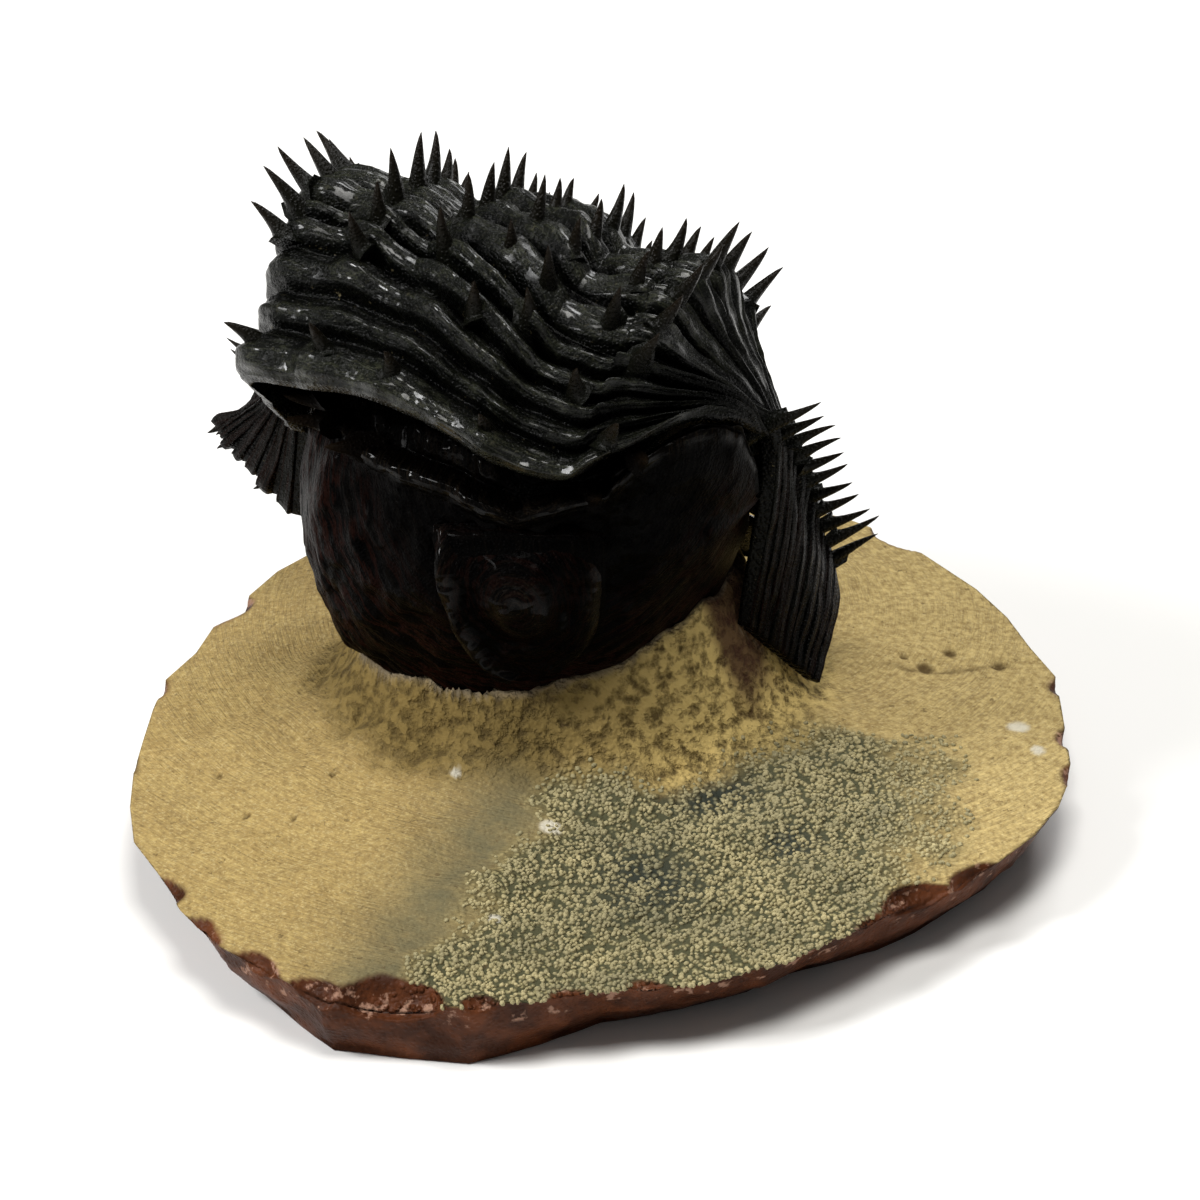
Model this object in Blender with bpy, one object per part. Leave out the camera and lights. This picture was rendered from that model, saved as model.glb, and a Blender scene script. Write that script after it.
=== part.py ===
"""A rolled-up spiny trilobite, freed from its limestone and left on a rock pedestal.

Millimetres in the constants, metres in the scene. +Z is up, -Y is the front.
The origin is the middle of the underside of the rock. The trilobite has its own frame, whose
origin is the middle of the line it rolls about: a runs to its right, b to its front, c up.
"""

import math
import random

import bmesh
import bpy
import numpy as np
from mathutils import Vector
from mathutils.bvhtree import BVHTree

MM = 0.001
CLEARANCE = 0.3

# The line the trilobite rolls about.
ROLL_CENTRE = np.array([-11.6, 10.3, 50.3])
YAW = math.radians(22.0)
ROLL = math.radians(6.0)
HALF_WIDTH = 35.6
RADIUS_ANGLES = (15.0, 60.0, 100.0, 140.0, 180.0, 232.0)
RADII = (30.5, 27.4, 24.2, 23.4, 26.0, 32.0)
INNER_RADIUS = 6.0

# Angles about that line, from the front over the top: head shield, tail shield, thorax.
SEGMENTS = 11
TAIL_RIM_ANGLE = 22.0
TAIL_TOP_ANGLE = 60.0
THORAX_END_ANGLE = 232.0
TAIL_RIBS = 3
# The back is pressed askew: the ribs dip at one place, and climb on each side of it.
SKEW_PLACE = 0.38
SKEW_STATIONS = (3.0, 9.0, 12.0, 14.0)
SKEW_LEFT = (0.0, 26.0, 26.0, 11.0)
SKEW_RIGHT = (0.0, 40.0, 75.0, 130.0)
SKEW_SPREAD = 0.5

# Outer ends of the ribs, first segment to last, in the trilobite's frame.
RIGHT_SHOULDER = (np.array([38.8, -20.0, -22.5]), np.array([34.4, -0.9, 8.1]))
RIGHT_TIP = (np.array([42.0, -8.7, -30.5]), np.array([34.6, -0.5, -19.7]))
LEFT_SHOULDER = (np.array([-37.4, -15.0, -16.0]), np.array([-29.7, -5.0, -5.0]))
LEFT_TIP = (np.array([-40.4, -14.8, -24.6]), np.array([-29.3, -6.6, -28.0]))
LEFT_FLARE = np.array([-6.8, 0.0, 4.0])
RIM_RIGHT_END = np.array([33.2, 5.9, 13.3])
RIM_LEFT_END = np.array([-25.2, 9.0, -5.0])
RIM_LEFT_SAG = np.array([2.5, 0.0, -5.9])
SAG_SHARES = (0.95, 0.6, 0.2)
SHOULDER_DEPTH = 2.3
TIP_DEPTH = 1.6
INSIDE_NARROWER = 0.12
END_GAP = 0.1
END_GAP_INSIDE = 0.15

# Places along a rib, and how far out the inner ones are as a share of the half width.
KNOT_PLACES = (-1.0, -0.86, -0.7, -0.48, -0.26, 0.0, 0.26, 0.48, 0.7, 0.86, 1.0)
ARCH_OUT = (-0.83, -0.56, -0.3, 0.0, 0.26, 0.48, 0.62)
LEFT_BOXY = 1.0

# Relief of the ribs.
AXIS_LIFT = 1.9
AXIS_HALF = 0.25
FURROW_DROP = 0.9
RIB_HEIGHT = 1.0

# Spines.
SPINE_BASE = 0.9
END_SPINE_BASE = 0.6
SPINE_LENGTH = 6.5
RIGHT_END_LEAN = np.array([0.8, 0.0, 0.5])
LEFT_END_LEAN = np.array([-0.95, 0.1, 0.1])
LEFT_SIDE_LEAN = np.array([-0.7, 0.0, 0.0])
SPINE_PLACES = (-0.84, -0.64, -0.42, -0.18, 0.0, 0.18, 0.42, 0.64, 0.84)

# Rows of spines on the tail shield: grid row, station past the thorax, places.
TAIL_SPINES = (
    (1, 0.42, (-0.64, -0.42, -0.18, 0.18, 0.64)),
    (4, 1.22, (-0.64, -0.42, 0.0, 0.42)),
    (9, 2.62, (-0.64, -0.42, -0.18, 0.18, 0.64)),
)

# Head shield: an egg-shaped bowl with its own lean.
HEAD_CENTRE = np.array([-8.7, 10.3, 43.2])
HEAD_AXES = np.array([27.6, 28.2, 32.4])
HEAD_LEAN = math.radians(32.0)
SEAM = 3.0
HEAD_SPINES = ((2, 5.0), (4, 6.5), (6, 5.5))
HEAD_END_ANGLE = -126.0
LIP_REACH = (-11.0, 1.0, 11.0, 21.0, 25.0, 30.0, 34.0)
LIP_ANGLES = (9.5, 10.5, 7.5, 19.0, 34.0, 52.0, 61.0)

# The bowl's right end swells up to the tail shield's rim.
CHEEK_START = 18.0
CHEEK_FULL = 25.0
CHEEK_STRETCH = 2.5
CHEEK_END_REACH = 34.4
CHEEK_END_RADIUS = 6.0
CHEEK_SWELL_ANGLE = 3.0
CHEEK_STRETCH_ANGLE = -50.0
INNER_HEAD_RADIUS = 3.0

# Mouth plate.
PLATE_TOP = math.radians(-14.5)
PLATE_BOTTOM = math.radians(-60.0)
PLATE_HALF_WIDTH = 10.6
PLATE_THICKNESS = 1.3
PLATE_SLANT = 3.0
BOSS_HEIGHT = 2.2

# Rock.
RIM_RADII = (59.0, 59.6, 60.0, 62.0, 64.0, 62.0, 60.0, 59.0, 59.0, 58.5, 56.0, 56.5, 58.0, 61.0, 63.5, 66.8,
             68.5, 64.5, 58.0, 57.7, 55.0, 54.0, 57.5, 59.3)
UNDERCUTS = (4.0, 3.0, 3.0, 4.0, 4.0, 4.0, 4.0, 4.0, 4.0, 4.0, 4.0, 5.0, 7.0, 9.0, 10.0, 7.0,
             3.0, 2.0, 7.5, 9.5, 9.0, 6.0, 7.0, 6.0)
RIM_TOP = 9.5
FOOT_HEIGHT = 15.5
PEDESTAL_CENTRE = np.array([-4.0, 8.0])
PEDESTAL_AXES = np.array([31.0, 25.0])
PEDESTAL_TOP = 37.0
ROCK_SECTORS = 48


def trilobite_axes(lean):
    """Columns: the a, b and c directions, in world coordinates."""
    across = np.array([math.cos(YAW) * math.cos(lean), -math.sin(YAW) * math.cos(lean), -math.sin(lean)])
    front = np.array([-math.sin(YAW), -math.cos(YAW), 0.0])
    return np.column_stack([across, front, np.cross(front, across)])


BODY_AXES = trilobite_axes(ROLL)


def to_world(local):
    return ROLL_CENTRE + BODY_AXES @ local


def material(name, colour, roughness):
    made = bpy.data.materials.new(name)
    made.use_nodes = True
    shader = made.node_tree.nodes["Principled BSDF"]
    shader.inputs["Base Color"].default_value = (*colour, 1.0)
    shader.inputs["Roughness"].default_value = roughness
    return made


def add_node(name, mesh, colour, roughness):
    """Turns a bmesh in millimetres into a named object in metres."""
    bmesh.ops.remove_doubles(mesh, verts=mesh.verts, dist=1e-5)
    bmesh.ops.recalc_face_normals(mesh, faces=mesh.faces)
    bmesh.ops.scale(mesh, vec=(MM, MM, MM), verts=mesh.verts)
    data = bpy.data.meshes.new(name)
    mesh.to_mesh(data)
    mesh.free()
    data.materials.append(material(name, colour, roughness))
    made = bpy.data.objects.new(name, data)
    bpy.context.scene.collection.objects.link(made)
    return made


def angle_at(station, place):
    """Station 0 is the front edge of the first segment, 11 the tail shield's edge, 14 its rim."""
    last = SEGMENTS + TAIL_RIBS
    stations = (0.0, SEGMENTS, last)
    straight = np.interp(station, stations, (THORAX_END_ANGLE, TAIL_TOP_ANGLE, TAIL_RIM_ANGLE))
    off = place - SKEW_PLACE
    if off < 0.0:
        climb = np.interp(station, SKEW_STATIONS, SKEW_LEFT) * (1.0 - math.exp(-((off / SKEW_SPREAD) ** 2)))
    else:
        climb = np.interp(station, SKEW_STATIONS, SKEW_RIGHT) * off * off
    return math.radians(straight + climb)


def rib_knots(station, depth):
    """Points in the trilobite's frame, left tip to right tip. Depth 0 is the outside, 1 the inside."""
    share = min(station / SEGMENTS, 1.0)
    power = 4.0 - 1.7 * share
    arch = []
    for out, knot in zip(ARCH_OUT, KNOT_PLACES[2:-2]):
        angle = angle_at(station, knot)
        radius = np.interp(math.degrees(angle), RADIUS_ANGLES, RADII)
        boxy = power + (LEFT_BOXY if out < 0.0 else 0.0)
        outer = radius * (1.0 - abs(out) ** boxy) ** (1.0 / boxy)
        reach = outer + (INNER_RADIUS - outer) * depth
        side = out * HALF_WIDTH * (1.0 - INSIDE_NARROWER * depth)
        arch.append(np.array([side, reach * math.cos(angle), reach * math.sin(angle)]))
    fallen = (max(station - SEGMENTS, 0.0) / TAIL_RIBS) ** 2 * (1.0 - depth)
    for index, sag in enumerate(SAG_SHARES):
        arch[index] = arch[index] + RIM_LEFT_SAG * sag * fallen
    ends = []
    for shoulder, tip, side in ((LEFT_SHOULDER, LEFT_TIP, 1.0), (RIGHT_SHOULDER, RIGHT_TIP, -1.0)):
        near = shoulder[0] + (shoulder[1] - shoulder[0]) * share
        far = tip[0] + (tip[1] - tip[0]) * share
        arc = 4.0 * share * (1.0 - share)
        if side > 0.0:
            far = far + LEFT_FLARE * arc
        rim_end = RIM_LEFT_END if side > 0.0 else RIM_RIGHT_END
        near = near + (rim_end - near) * max(station - SEGMENTS, 0.0) / TAIL_RIBS
        near = near + np.array([side * SHOULDER_DEPTH * depth, 0.0, 0.0])
        far = far + np.array([side * TIP_DEPTH * depth, 0.0, 0.0])
        ends.append((near, far))
    return [ends[0][1], ends[0][0], *arch, ends[1][0], ends[1][1]]


def along_rib(knots, place):
    """A smooth curve through the knots."""
    last = len(KNOT_PLACES) - 2
    index = 0
    while index < last and place > KNOT_PLACES[index + 1]:
        index += 1
    start = KNOT_PLACES[index]
    span = KNOT_PLACES[index + 1] - start
    part = (place - start) / span

    def slope(at):
        before = max(at - 1, 0)
        after = min(at + 1, len(knots) - 1)
        return (knots[after] - knots[before]) / (KNOT_PLACES[after] - KNOT_PLACES[before])

    square = part * part
    cube = square * part
    return (
        (2.0 * cube - 3.0 * square + 1.0) * knots[index]
        + (cube - 2.0 * square + part) * span * slope(index)
        + (3.0 * square - 2.0 * cube) * knots[index + 1]
        + (cube - square) * span * slope(index + 1)
    )


def skin(station, place, depth=0.0):
    return along_rib(rib_knots(station, depth), place)


def outward(station, place):
    """Unit normal of the body's skin."""
    step = 0.02
    along = skin(station, min(place + step, 1.0)) - skin(station, max(place - step, -1.0))
    across = skin(station + step, place) - skin(station - step, place)
    normal = np.cross(along, across)
    normal /= np.linalg.norm(normal)
    inward = skin(station, place, 1.0) - skin(station, place)
    return normal if normal @ inward < 0.0 else -normal


def lobe_relief(place):
    """The raised middle lobe and the furrow on each side of it."""
    lobe = AXIS_LIFT * max(0.0, 1.0 - (place / AXIS_HALF) ** 2) ** 0.6
    furrow = FURROW_DROP * math.exp(-(((abs(place) - AXIS_HALF) / 0.07) ** 2))
    return lobe - furrow


def rib_relief(place, row):
    """Height of a rib's rows, front edge to rear edge. Side ribs have a furrow along them."""
    axis_rows = (-0.8, 0.5, 1.0, 1.0, -0.8)
    side_rows = (-0.8, 0.7, -0.1, 0.9, -0.8)
    blend = min(max((abs(place) - AXIS_HALF) / 0.1, 0.0), 1.0)
    fade = min(max((0.9 - abs(place)) / 0.25, 0.2), 1.0)
    return RIB_HEIGHT * fade * (axis_rows[row] * (1.0 - blend) + side_rows[row] * blend)


def rib_places():
    """Stations across a rib: a narrow pair round each spine, and one between two pairs."""
    places = [-1.0]
    for middle in SPINE_PLACES:
        width = (END_SPINE_BASE if abs(middle) > 0.8 else SPINE_BASE) / HALF_WIDTH
        if len(places) > 1:
            places.append((places[-1] + middle - width) / 2.0)
        places.extend((middle - width, middle + width))
    places.append(1.0)
    return places


def grow_spine(mesh, corners, direction, bend, length):
    """Raises a thorn on a four-cornered gap in the skin, and closes the gap."""
    centre = sum((vert.co for vert in corners), Vector()) / len(corners)
    middle = centre + direction * length * 0.45 + bend * 0.15
    ring = [mesh.verts.new(middle + (vert.co - centre) * 0.52) for vert in corners]
    tip = mesh.verts.new(centre + direction * length + bend)
    for index, vert in enumerate(corners):
        after = (index + 1) % len(corners)
        mesh.faces.new((vert, corners[after], ring[after], ring[index]))
        mesh.faces.new((ring[index], ring[after], tip))


def lofted_plate(name, outer, inner, thorns, colour):
    """One closed plate: an outer grid, an inner pair of rows, walls, and two end caps."""
    mesh = bmesh.new()
    top = [[mesh.verts.new(point) for point in row] for row in outer]
    under = [[mesh.verts.new(point) for point in row] for row in inner]
    columns = len(outer[0])
    for row in range(len(outer) - 1):
        for column in range(columns - 1):
            corners = (top[row][column], top[row][column + 1], top[row + 1][column + 1], top[row + 1][column])
            thorn = thorns.get((row, column))
            if thorn is None:
                mesh.faces.new(corners)
            else:
                grow_spine(mesh, corners, *thorn)
    for column in range(columns - 1):
        mesh.faces.new((under[0][column], under[0][column + 1], under[1][column + 1], under[1][column]))
        for edge, foot in ((top[0], under[0]), (top[-1], under[1])):
            mesh.faces.new((edge[column], edge[column + 1], foot[column]))
            mesh.faces.new((edge[column + 1], foot[column + 1], foot[column]))
    for column in (0, columns - 1):
        ring = [row[column] for row in top] + [under[1][column], under[0][column]]
        mesh.faces.new(ring)
    return add_node(name, mesh, colour, 0.35)


def spine_for(chance, station, place, length, lift):
    """Direction, droop and length of one spine, in world coordinates."""
    lean = np.array([chance.uniform(-0.12, 0.12), chance.uniform(-0.12, 0.12), lift])
    facing = outward(station, place)
    if abs(place) > 0.8:
        facing = facing * 0.3 + (RIGHT_END_LEAN if place > 0.0 else LEFT_END_LEAN)
    elif place < -0.5:
        facing = facing + LEFT_SIDE_LEAN
    direction = BODY_AXES @ facing + lean
    direction /= np.linalg.norm(direction)
    bend = Vector((chance.uniform(-0.4, 0.4), chance.uniform(-0.4, 0.4), 0.5))
    return Vector(direction), bend, length * chance.uniform(0.85, 1.12)


def thorax_segment(number):
    """One segment of the thorax, with its row of spines."""
    chance = random.Random(number)
    gap = CLEARANCE / 2.0 / (RADII[2] * math.radians(15.5))
    gap_inside = CLEARANCE / 2.0 / (INNER_RADIUS * math.radians(15.5))
    rows = (gap, 0.2, 0.42, 0.68, 1.0 - gap)
    end_rows = (END_GAP, 0.18, 0.29, 0.78, 1.0 - END_GAP)
    places = rib_places()
    outer = [[] for _ in rows]
    inner = [[], []]
    for place in places:
        share = min(max((abs(place) - 0.55) / 0.12, 0.0), 1.0)
        for row in range(len(rows)):
            station = number - 1 + rows[row] + (end_rows[row] - rows[row]) * share
            height = lobe_relief(place) + rib_relief(place, row)
            outer[row].append(to_world(skin(station, place) + outward(station, place) * height))
        trim = gap_inside + (END_GAP_INSIDE - gap_inside) * share
        inner[0].append(to_world(skin(number - 1 + trim, place, 1.0)))
        inner[1].append(to_world(skin(number - trim, place, 1.0)))
    thorns = {}
    for order, place in enumerate(SPINE_PLACES):
        station = number - 0.45
        thorns[(2, 1 + 3 * order)] = spine_for(chance, station, place, SPINE_LENGTH, 0.12)
    return lofted_plate(f"thorax_segment_{number:02d}", outer, inner, thorns, (0.02, 0.022, 0.02))


def tail_shield():
    """The tail shield: a fan of low ribs that ends in a rolled rim."""
    chance = random.Random(40)
    parts = (0.03, 0.3, 0.55, 0.8, 1.1, 1.35, 1.6, 1.9, 2.2, 2.5, 2.75, 3.0)
    heights = (-0.5, 0.8, 0.8, -0.6, 0.7, 0.7, -0.6, 0.5, -0.5, 0.9, 1.2, 0.0)
    limit = 0.9
    places = [place for place in rib_places() if abs(place) < limit]
    outer = []
    for part, height in zip(parts, heights):
        line = []
        for place in places:
            station = SEGMENTS + (max(part, END_GAP) if abs(place) > 0.8 else part)
            fade = 1.0 - abs(place / limit) ** 4
            lobe = lobe_relief(place) * max(0.0, 1.0 - part / 2.4)
            line.append(to_world(skin(station, place) + outward(station, place) * (lobe + height * fade)))
        outer.append(line)
    inner = [
        [to_world(skin(station, place, 1.0)) for place in places]
        for station in (SEGMENTS + 0.15, SEGMENTS + 2.95)
    ]
    thorns = {}
    for row, part, chosen in TAIL_SPINES:
        for place in chosen:
            column = min(range(len(places) - 1), key=lambda at: abs(places[at] + places[at + 1] - 2.0 * place))
            thorns[(row, column)] = spine_for(chance, SEGMENTS + part, place, SPINE_LENGTH * 0.9, 0.4)
    return lofted_plate("pygidium", outer, inner, thorns, (0.02, 0.022, 0.02))


HEAD_FRAME = trilobite_axes(HEAD_LEAN)


def head_distance(origin, direction):
    """How far the bowl's surface is from a point inside it."""
    scaled_origin = (HEAD_FRAME.T @ (origin - HEAD_CENTRE)) / HEAD_AXES
    scaled_direction = (HEAD_FRAME.T @ direction) / HEAD_AXES
    square = scaled_direction @ scaled_direction
    half = scaled_origin @ scaled_direction
    rest = scaled_origin @ scaled_origin - 1.0
    return (-half + math.sqrt(max(half * half - square * rest, 0.0))) / square


def eased(value, low, high):
    """0 below low, 1 above high, and a smooth step between them."""
    part = min(max((value - low) / (high - low), 0.0), 1.0)
    return part * part * (3.0 - 2.0 * part)


def across_direction(degrees):
    """Unit vector in the plane across the roll line: 0 degrees is the front, 90 is up."""
    angle = math.radians(degrees)
    return BODY_AXES @ np.array([0.0, math.cos(angle), math.sin(angle)])


def right_rim():
    """The tail shield's rim on the right: reach along the roll line, angle, and distance from the line."""
    points = [skin(SEGMENTS + TAIL_RIBS, place) for place in (0.48, 0.6, 0.7, 0.744, 0.78, 0.8, 0.823, 0.857)]
    reaches = [point[0] for point in points]
    angles = [math.degrees(math.atan2(point[2], point[1])) for point in points]
    radii = [math.hypot(point[1], point[2]) for point in points]
    return [*reaches, CHEEK_END_REACH], [*angles, angles[-1]], [*radii, CHEEK_END_RADIUS]


def bowl_slice(reach, cheek, rim):
    """One plane across the roll line: its seam and lip angles, and the bowl's points in it."""
    start = ROLL_CENTRE + BODY_AXES[:, 0] * reach
    stretched = reach + CHEEK_STRETCH * cheek
    place = np.interp(reach / HALF_WIDTH, ARCH_OUT, KNOT_PLACES[2:-2])
    seam = math.degrees(angle_at(SEGMENTS + TAIL_RIBS, place)) - SEAM
    if stretched > rim[0][0]:
        seam = np.interp(stretched, rim[0], rim[1]) - SEAM
    lip = min(np.interp(stretched, LIP_REACH, LIP_ANGLES), seam - 5.0)
    swell = np.interp(stretched, rim[0], rim[2]) - head_distance(start, across_direction(seam))
    swell *= eased(stretched, CHEEK_START, CHEEK_FULL)

    def point(degrees, share, height):
        """share is the part of the way from the roll line to the surface."""
        direction = across_direction(degrees)
        distance = head_distance(start, direction) + swell * eased(degrees, CHEEK_SWELL_ANGLE, seam)
        along = (stretched - reach) * eased(degrees, CHEEK_STRETCH_ANGLE, 0.0)
        return start + BODY_AXES[:, 0] * along + direction * (distance * share + height)

    return seam, lip, point


def head_shield():
    """The head shield: a bowl with a rolled lip below the tail shield's rim."""
    right = head_distance(ROLL_CENTRE, BODY_AXES[:, 0])
    left = head_distance(ROLL_CENTRE, -BODY_AXES[:, 0])
    rim = right_rim()
    shares = (0.0, 0.04, 0.08, 0.16, 0.26, 0.37, 0.48, 0.6, 0.72, 0.86, 1.0)
    columns = 22
    outer = [[] for _ in range(len(shares) + 4)]
    inner = [[], []]
    for column in range(columns + 1):
        turn = math.radians(-81.0 + 162.0 * column / columns)
        reach = (right + left) / 2.0 * math.sin(turn) + (right - left) / 2.0
        cheek = eased(reach, CHEEK_START, right)
        fade = max(math.cos(turn), 0.0) ** 0.5 * (1.0 - 0.7 * cheek)
        seam, lip, point = bowl_slice(reach, cheek, rim)
        angles = [seam, lip + 4.0, lip + 2.0, lip]
        heights = [-3.0, -2.6, 0.6, 0.9]
        for share in shares:
            angles.append(lip - 2.5 + (HEAD_END_ANGLE - lip + 2.5) * share)
            heights.append(0.4 if share == 0.0 else -0.9 * math.exp(0.25 - (share / 0.08) ** 2))
        for row, degrees in enumerate(angles):
            outer[row].append(point(degrees, 1.0, heights[row] * fade))
        for row, degrees in enumerate((seam, HEAD_END_ANGLE)):
            distance = np.linalg.norm(point(degrees, 1.0, 0.0) - point(degrees, 0.0, 0.0))
            share = min(INNER_HEAD_RADIUS / distance, 0.3)
            inner[row].append(point(degrees, share, 0.0) + across_direction(-56.0) * 0.5)
    thorns = {}
    for column, length in HEAD_SPINES:
        direction = (outer[2][column] - HEAD_CENTRE) / np.linalg.norm(outer[2][column] - HEAD_CENTRE)
        direction = Vector(direction + np.array([-0.9, 0.0, -0.1])).normalized()
        thorns[(2, column)] = (direction, Vector((0.0, 0.0, 0.4)), length)
    return lofted_plate("cephalon", outer, inner, thorns, (0.025, 0.02, 0.018))


def plate_point(side, drop, height):
    """A point over the bowl, side -1 to 1 and drop 0 at the plate's top to 1 at its rounded end."""
    elevation = PLATE_TOP + (PLATE_BOTTOM - PLATE_TOP) * drop
    half = PLATE_HALF_WIDTH * (1.0 - 0.9 * drop**4) ** 0.5 * (1.0 - 0.12 * drop)
    bearing = (side * half + PLATE_SLANT * (drop - 0.6)) / HEAD_AXES[0]
    toward = np.array([0.0, -math.cos(math.radians(31.0)), math.sin(math.radians(31.0))])
    up = np.array([0.0, math.sin(math.radians(31.0)), math.cos(math.radians(31.0))])
    direction = toward * math.cos(bearing) * math.cos(elevation)
    direction = direction + np.array([1.0, 0.0, 0.0]) * math.sin(bearing)
    direction = direction + up * math.sin(elevation)
    direction /= np.linalg.norm(direction)
    return HEAD_CENTRE + direction * (head_distance(HEAD_CENTRE, direction) + height)


def mouth_plate():
    """The mouth plate: a shield-shaped plate with a boss, laid against the bowl."""
    drops = [index / 9.0 for index in range(10)]
    sides = [-1.0, -0.88, -0.6, -0.3, 0.0, 0.3, 0.6, 0.88, 1.0]
    outer = []
    for drop in drops:
        line = []
        for side in sides:
            boss = math.exp(-((side + 0.1) ** 2) / 0.16 - (drop - 0.42) ** 2 / 0.05)
            ridge = math.exp(-((abs(side) - 0.88) ** 2) / 0.01)
            height = PLATE_THICKNESS + CLEARANCE + BOSS_HEIGHT * boss + 0.6 * ridge
            line.append(plate_point(side, drop, height))
        outer.append(line)
    mesh = bmesh.new()
    top = [[mesh.verts.new(point) for point in line] for line in outer]
    under = [[mesh.verts.new(plate_point(side, drop, CLEARANCE + 0.1)) for side in sides] for drop in drops]
    rows = len(drops)
    columns = len(sides)
    for sheet in (top, under):
        for row in range(rows - 1):
            for column in range(columns - 1):
                mesh.faces.new((sheet[row][column], sheet[row][column + 1], sheet[row + 1][column + 1],
                                sheet[row + 1][column]))
    for row in range(rows - 1):
        for column in (0, columns - 1):
            mesh.faces.new((top[row][column], top[row + 1][column], under[row + 1][column], under[row][column]))
    for column in range(columns - 1):
        for row in (0, rows - 1):
            mesh.faces.new((top[row][column], top[row][column + 1], under[row][column + 1], under[row][column]))
    return add_node("hypostome", mesh, (0.03, 0.025, 0.02), 0.35)


def lowest_over(trees, x, y):
    """Height in millimetres of the lowest piece above a point of the rock, or None."""
    heights = []
    for tree in trees:
        hit = tree.ray_cast(Vector((x * MM, y * MM, -MM)), Vector((0.0, 0.0, 1.0)))
        if hit[0] is not None:
            heights.append(hit[0].z / MM)
    return min(heights) if heights else None


def rock_height(trees, x, y, part):
    """The rock's upper surface: a low cone, a pedestal, and the seat of the trilobite."""
    cone = FOOT_HEIGHT + (RIM_TOP - FOOT_HEIGHT) * part**1.3
    off = np.linalg.norm((np.array([x, y]) - PEDESTAL_CENTRE) / PEDESTAL_AXES)
    rise = (PEDESTAL_TOP - FOOT_HEIGHT) / (1.0 + math.exp((off - 0.8) * 14.0))
    wave = 0.35 * math.sin(0.31 * x + 0.5) * math.sin(0.27 * y) + 0.25 * math.sin(0.53 * y - 0.2 * x)
    height = cone + rise + wave * (1.0 - part**6)
    for ring in (0.0, 1.3, 2.6):
        for step in range(8 if ring else 1):
            turn = step * math.pi / 4.0
            over = lowest_over(trees, x + ring * math.cos(turn), y + ring * math.sin(turn))
            if over is not None:
                height = min(height, over - 0.5)
    return height


def around(values, sector):
    """A value between two of a list that goes round the rock."""
    at = sector / ROCK_SECTORS * len(values)
    first = values[int(at) % len(values)]
    second = values[(int(at) + 1) % len(values)]
    return first + (second - first) * (at - int(at))


def rock(pieces):
    """The rock: flat below, a chipped rim, a gentle cone and a pedestal under the trilobite."""
    graph = bpy.context.evaluated_depsgraph_get()
    trees = [BVHTree.FromObject(piece, graph) for piece in pieces]
    chance = random.Random(7)
    parts = (0.0, 0.1, 0.19, 0.27, 0.34, 0.4, 0.45, 0.5, 0.56, 0.64, 0.75, 0.87, 1.0)
    mesh = bmesh.new()
    middle = mesh.verts.new((*PEDESTAL_CENTRE, rock_height(trees, *PEDESTAL_CENTRE, 0.0)))
    rings = []
    rim = []
    for sector in range(ROCK_SECTORS):
        turn = 2.0 * math.pi * sector / ROCK_SECTORS
        radius = around(RIM_RADII, sector) + chance.uniform(-0.7, 0.7)
        rim.append(np.array([radius * math.cos(turn), radius * math.sin(turn)]))
    for part in parts[1:]:
        ring = []
        for edge in rim:
            x, y = PEDESTAL_CENTRE + (edge - PEDESTAL_CENTRE) * part
            ring.append(mesh.verts.new((x, y, rock_height(trees, x, y, part))))
        rings.append(ring)
    for height, share in ((RIM_TOP * 0.45, 0.4), (0.0, 1.0)):
        ring = []
        for index, edge in enumerate(rim):
            pull = around(UNDERCUTS, index) * share
            x, y = edge * (1.0 - pull / np.linalg.norm(edge))
            ring.append(mesh.verts.new((x, y, height)))
        rings.append(ring)
    for index in range(ROCK_SECTORS):
        after = (index + 1) % ROCK_SECTORS
        mesh.faces.new((middle, rings[0][index], rings[0][after]))
        for inside, outside in zip(rings, rings[1:]):
            mesh.faces.new((inside[index], outside[index], outside[after], inside[after]))
    mesh.faces.new(rings[-1])
    return add_node("matrix", mesh, (0.42, 0.34, 0.2), 0.9)


for old in list(bpy.data.objects):
    bpy.data.objects.remove(old)

fossil = [thorax_segment(number) for number in range(1, SEGMENTS + 1)]
fossil.append(tail_shield())
fossil.append(head_shield())
fossil.append(mouth_plate())
bpy.context.view_layer.update()
rock(fossil)
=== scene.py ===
# %% [markdown]
# # A rolled-up spiny trilobite on its limestone pedestal
# The fossil is a trilobite that rolled itself up: a bowl-shaped head shield below, a ribbed back
# that wraps over it, and hanging rib ends at both sides. A preparer freed it from the rock thorn by
# thorn and left it on a short pedestal. The plain solids come from the frame. This script gives each
# of them its real surface: ribs, furrows, thorns, terrace lines, and broken, scratched limestone.

# %% Load the frame
import math
import random

import bmesh
import bpy
import numpy as np
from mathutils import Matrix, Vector
from mathutils.bvhtree import BVHTree


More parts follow.
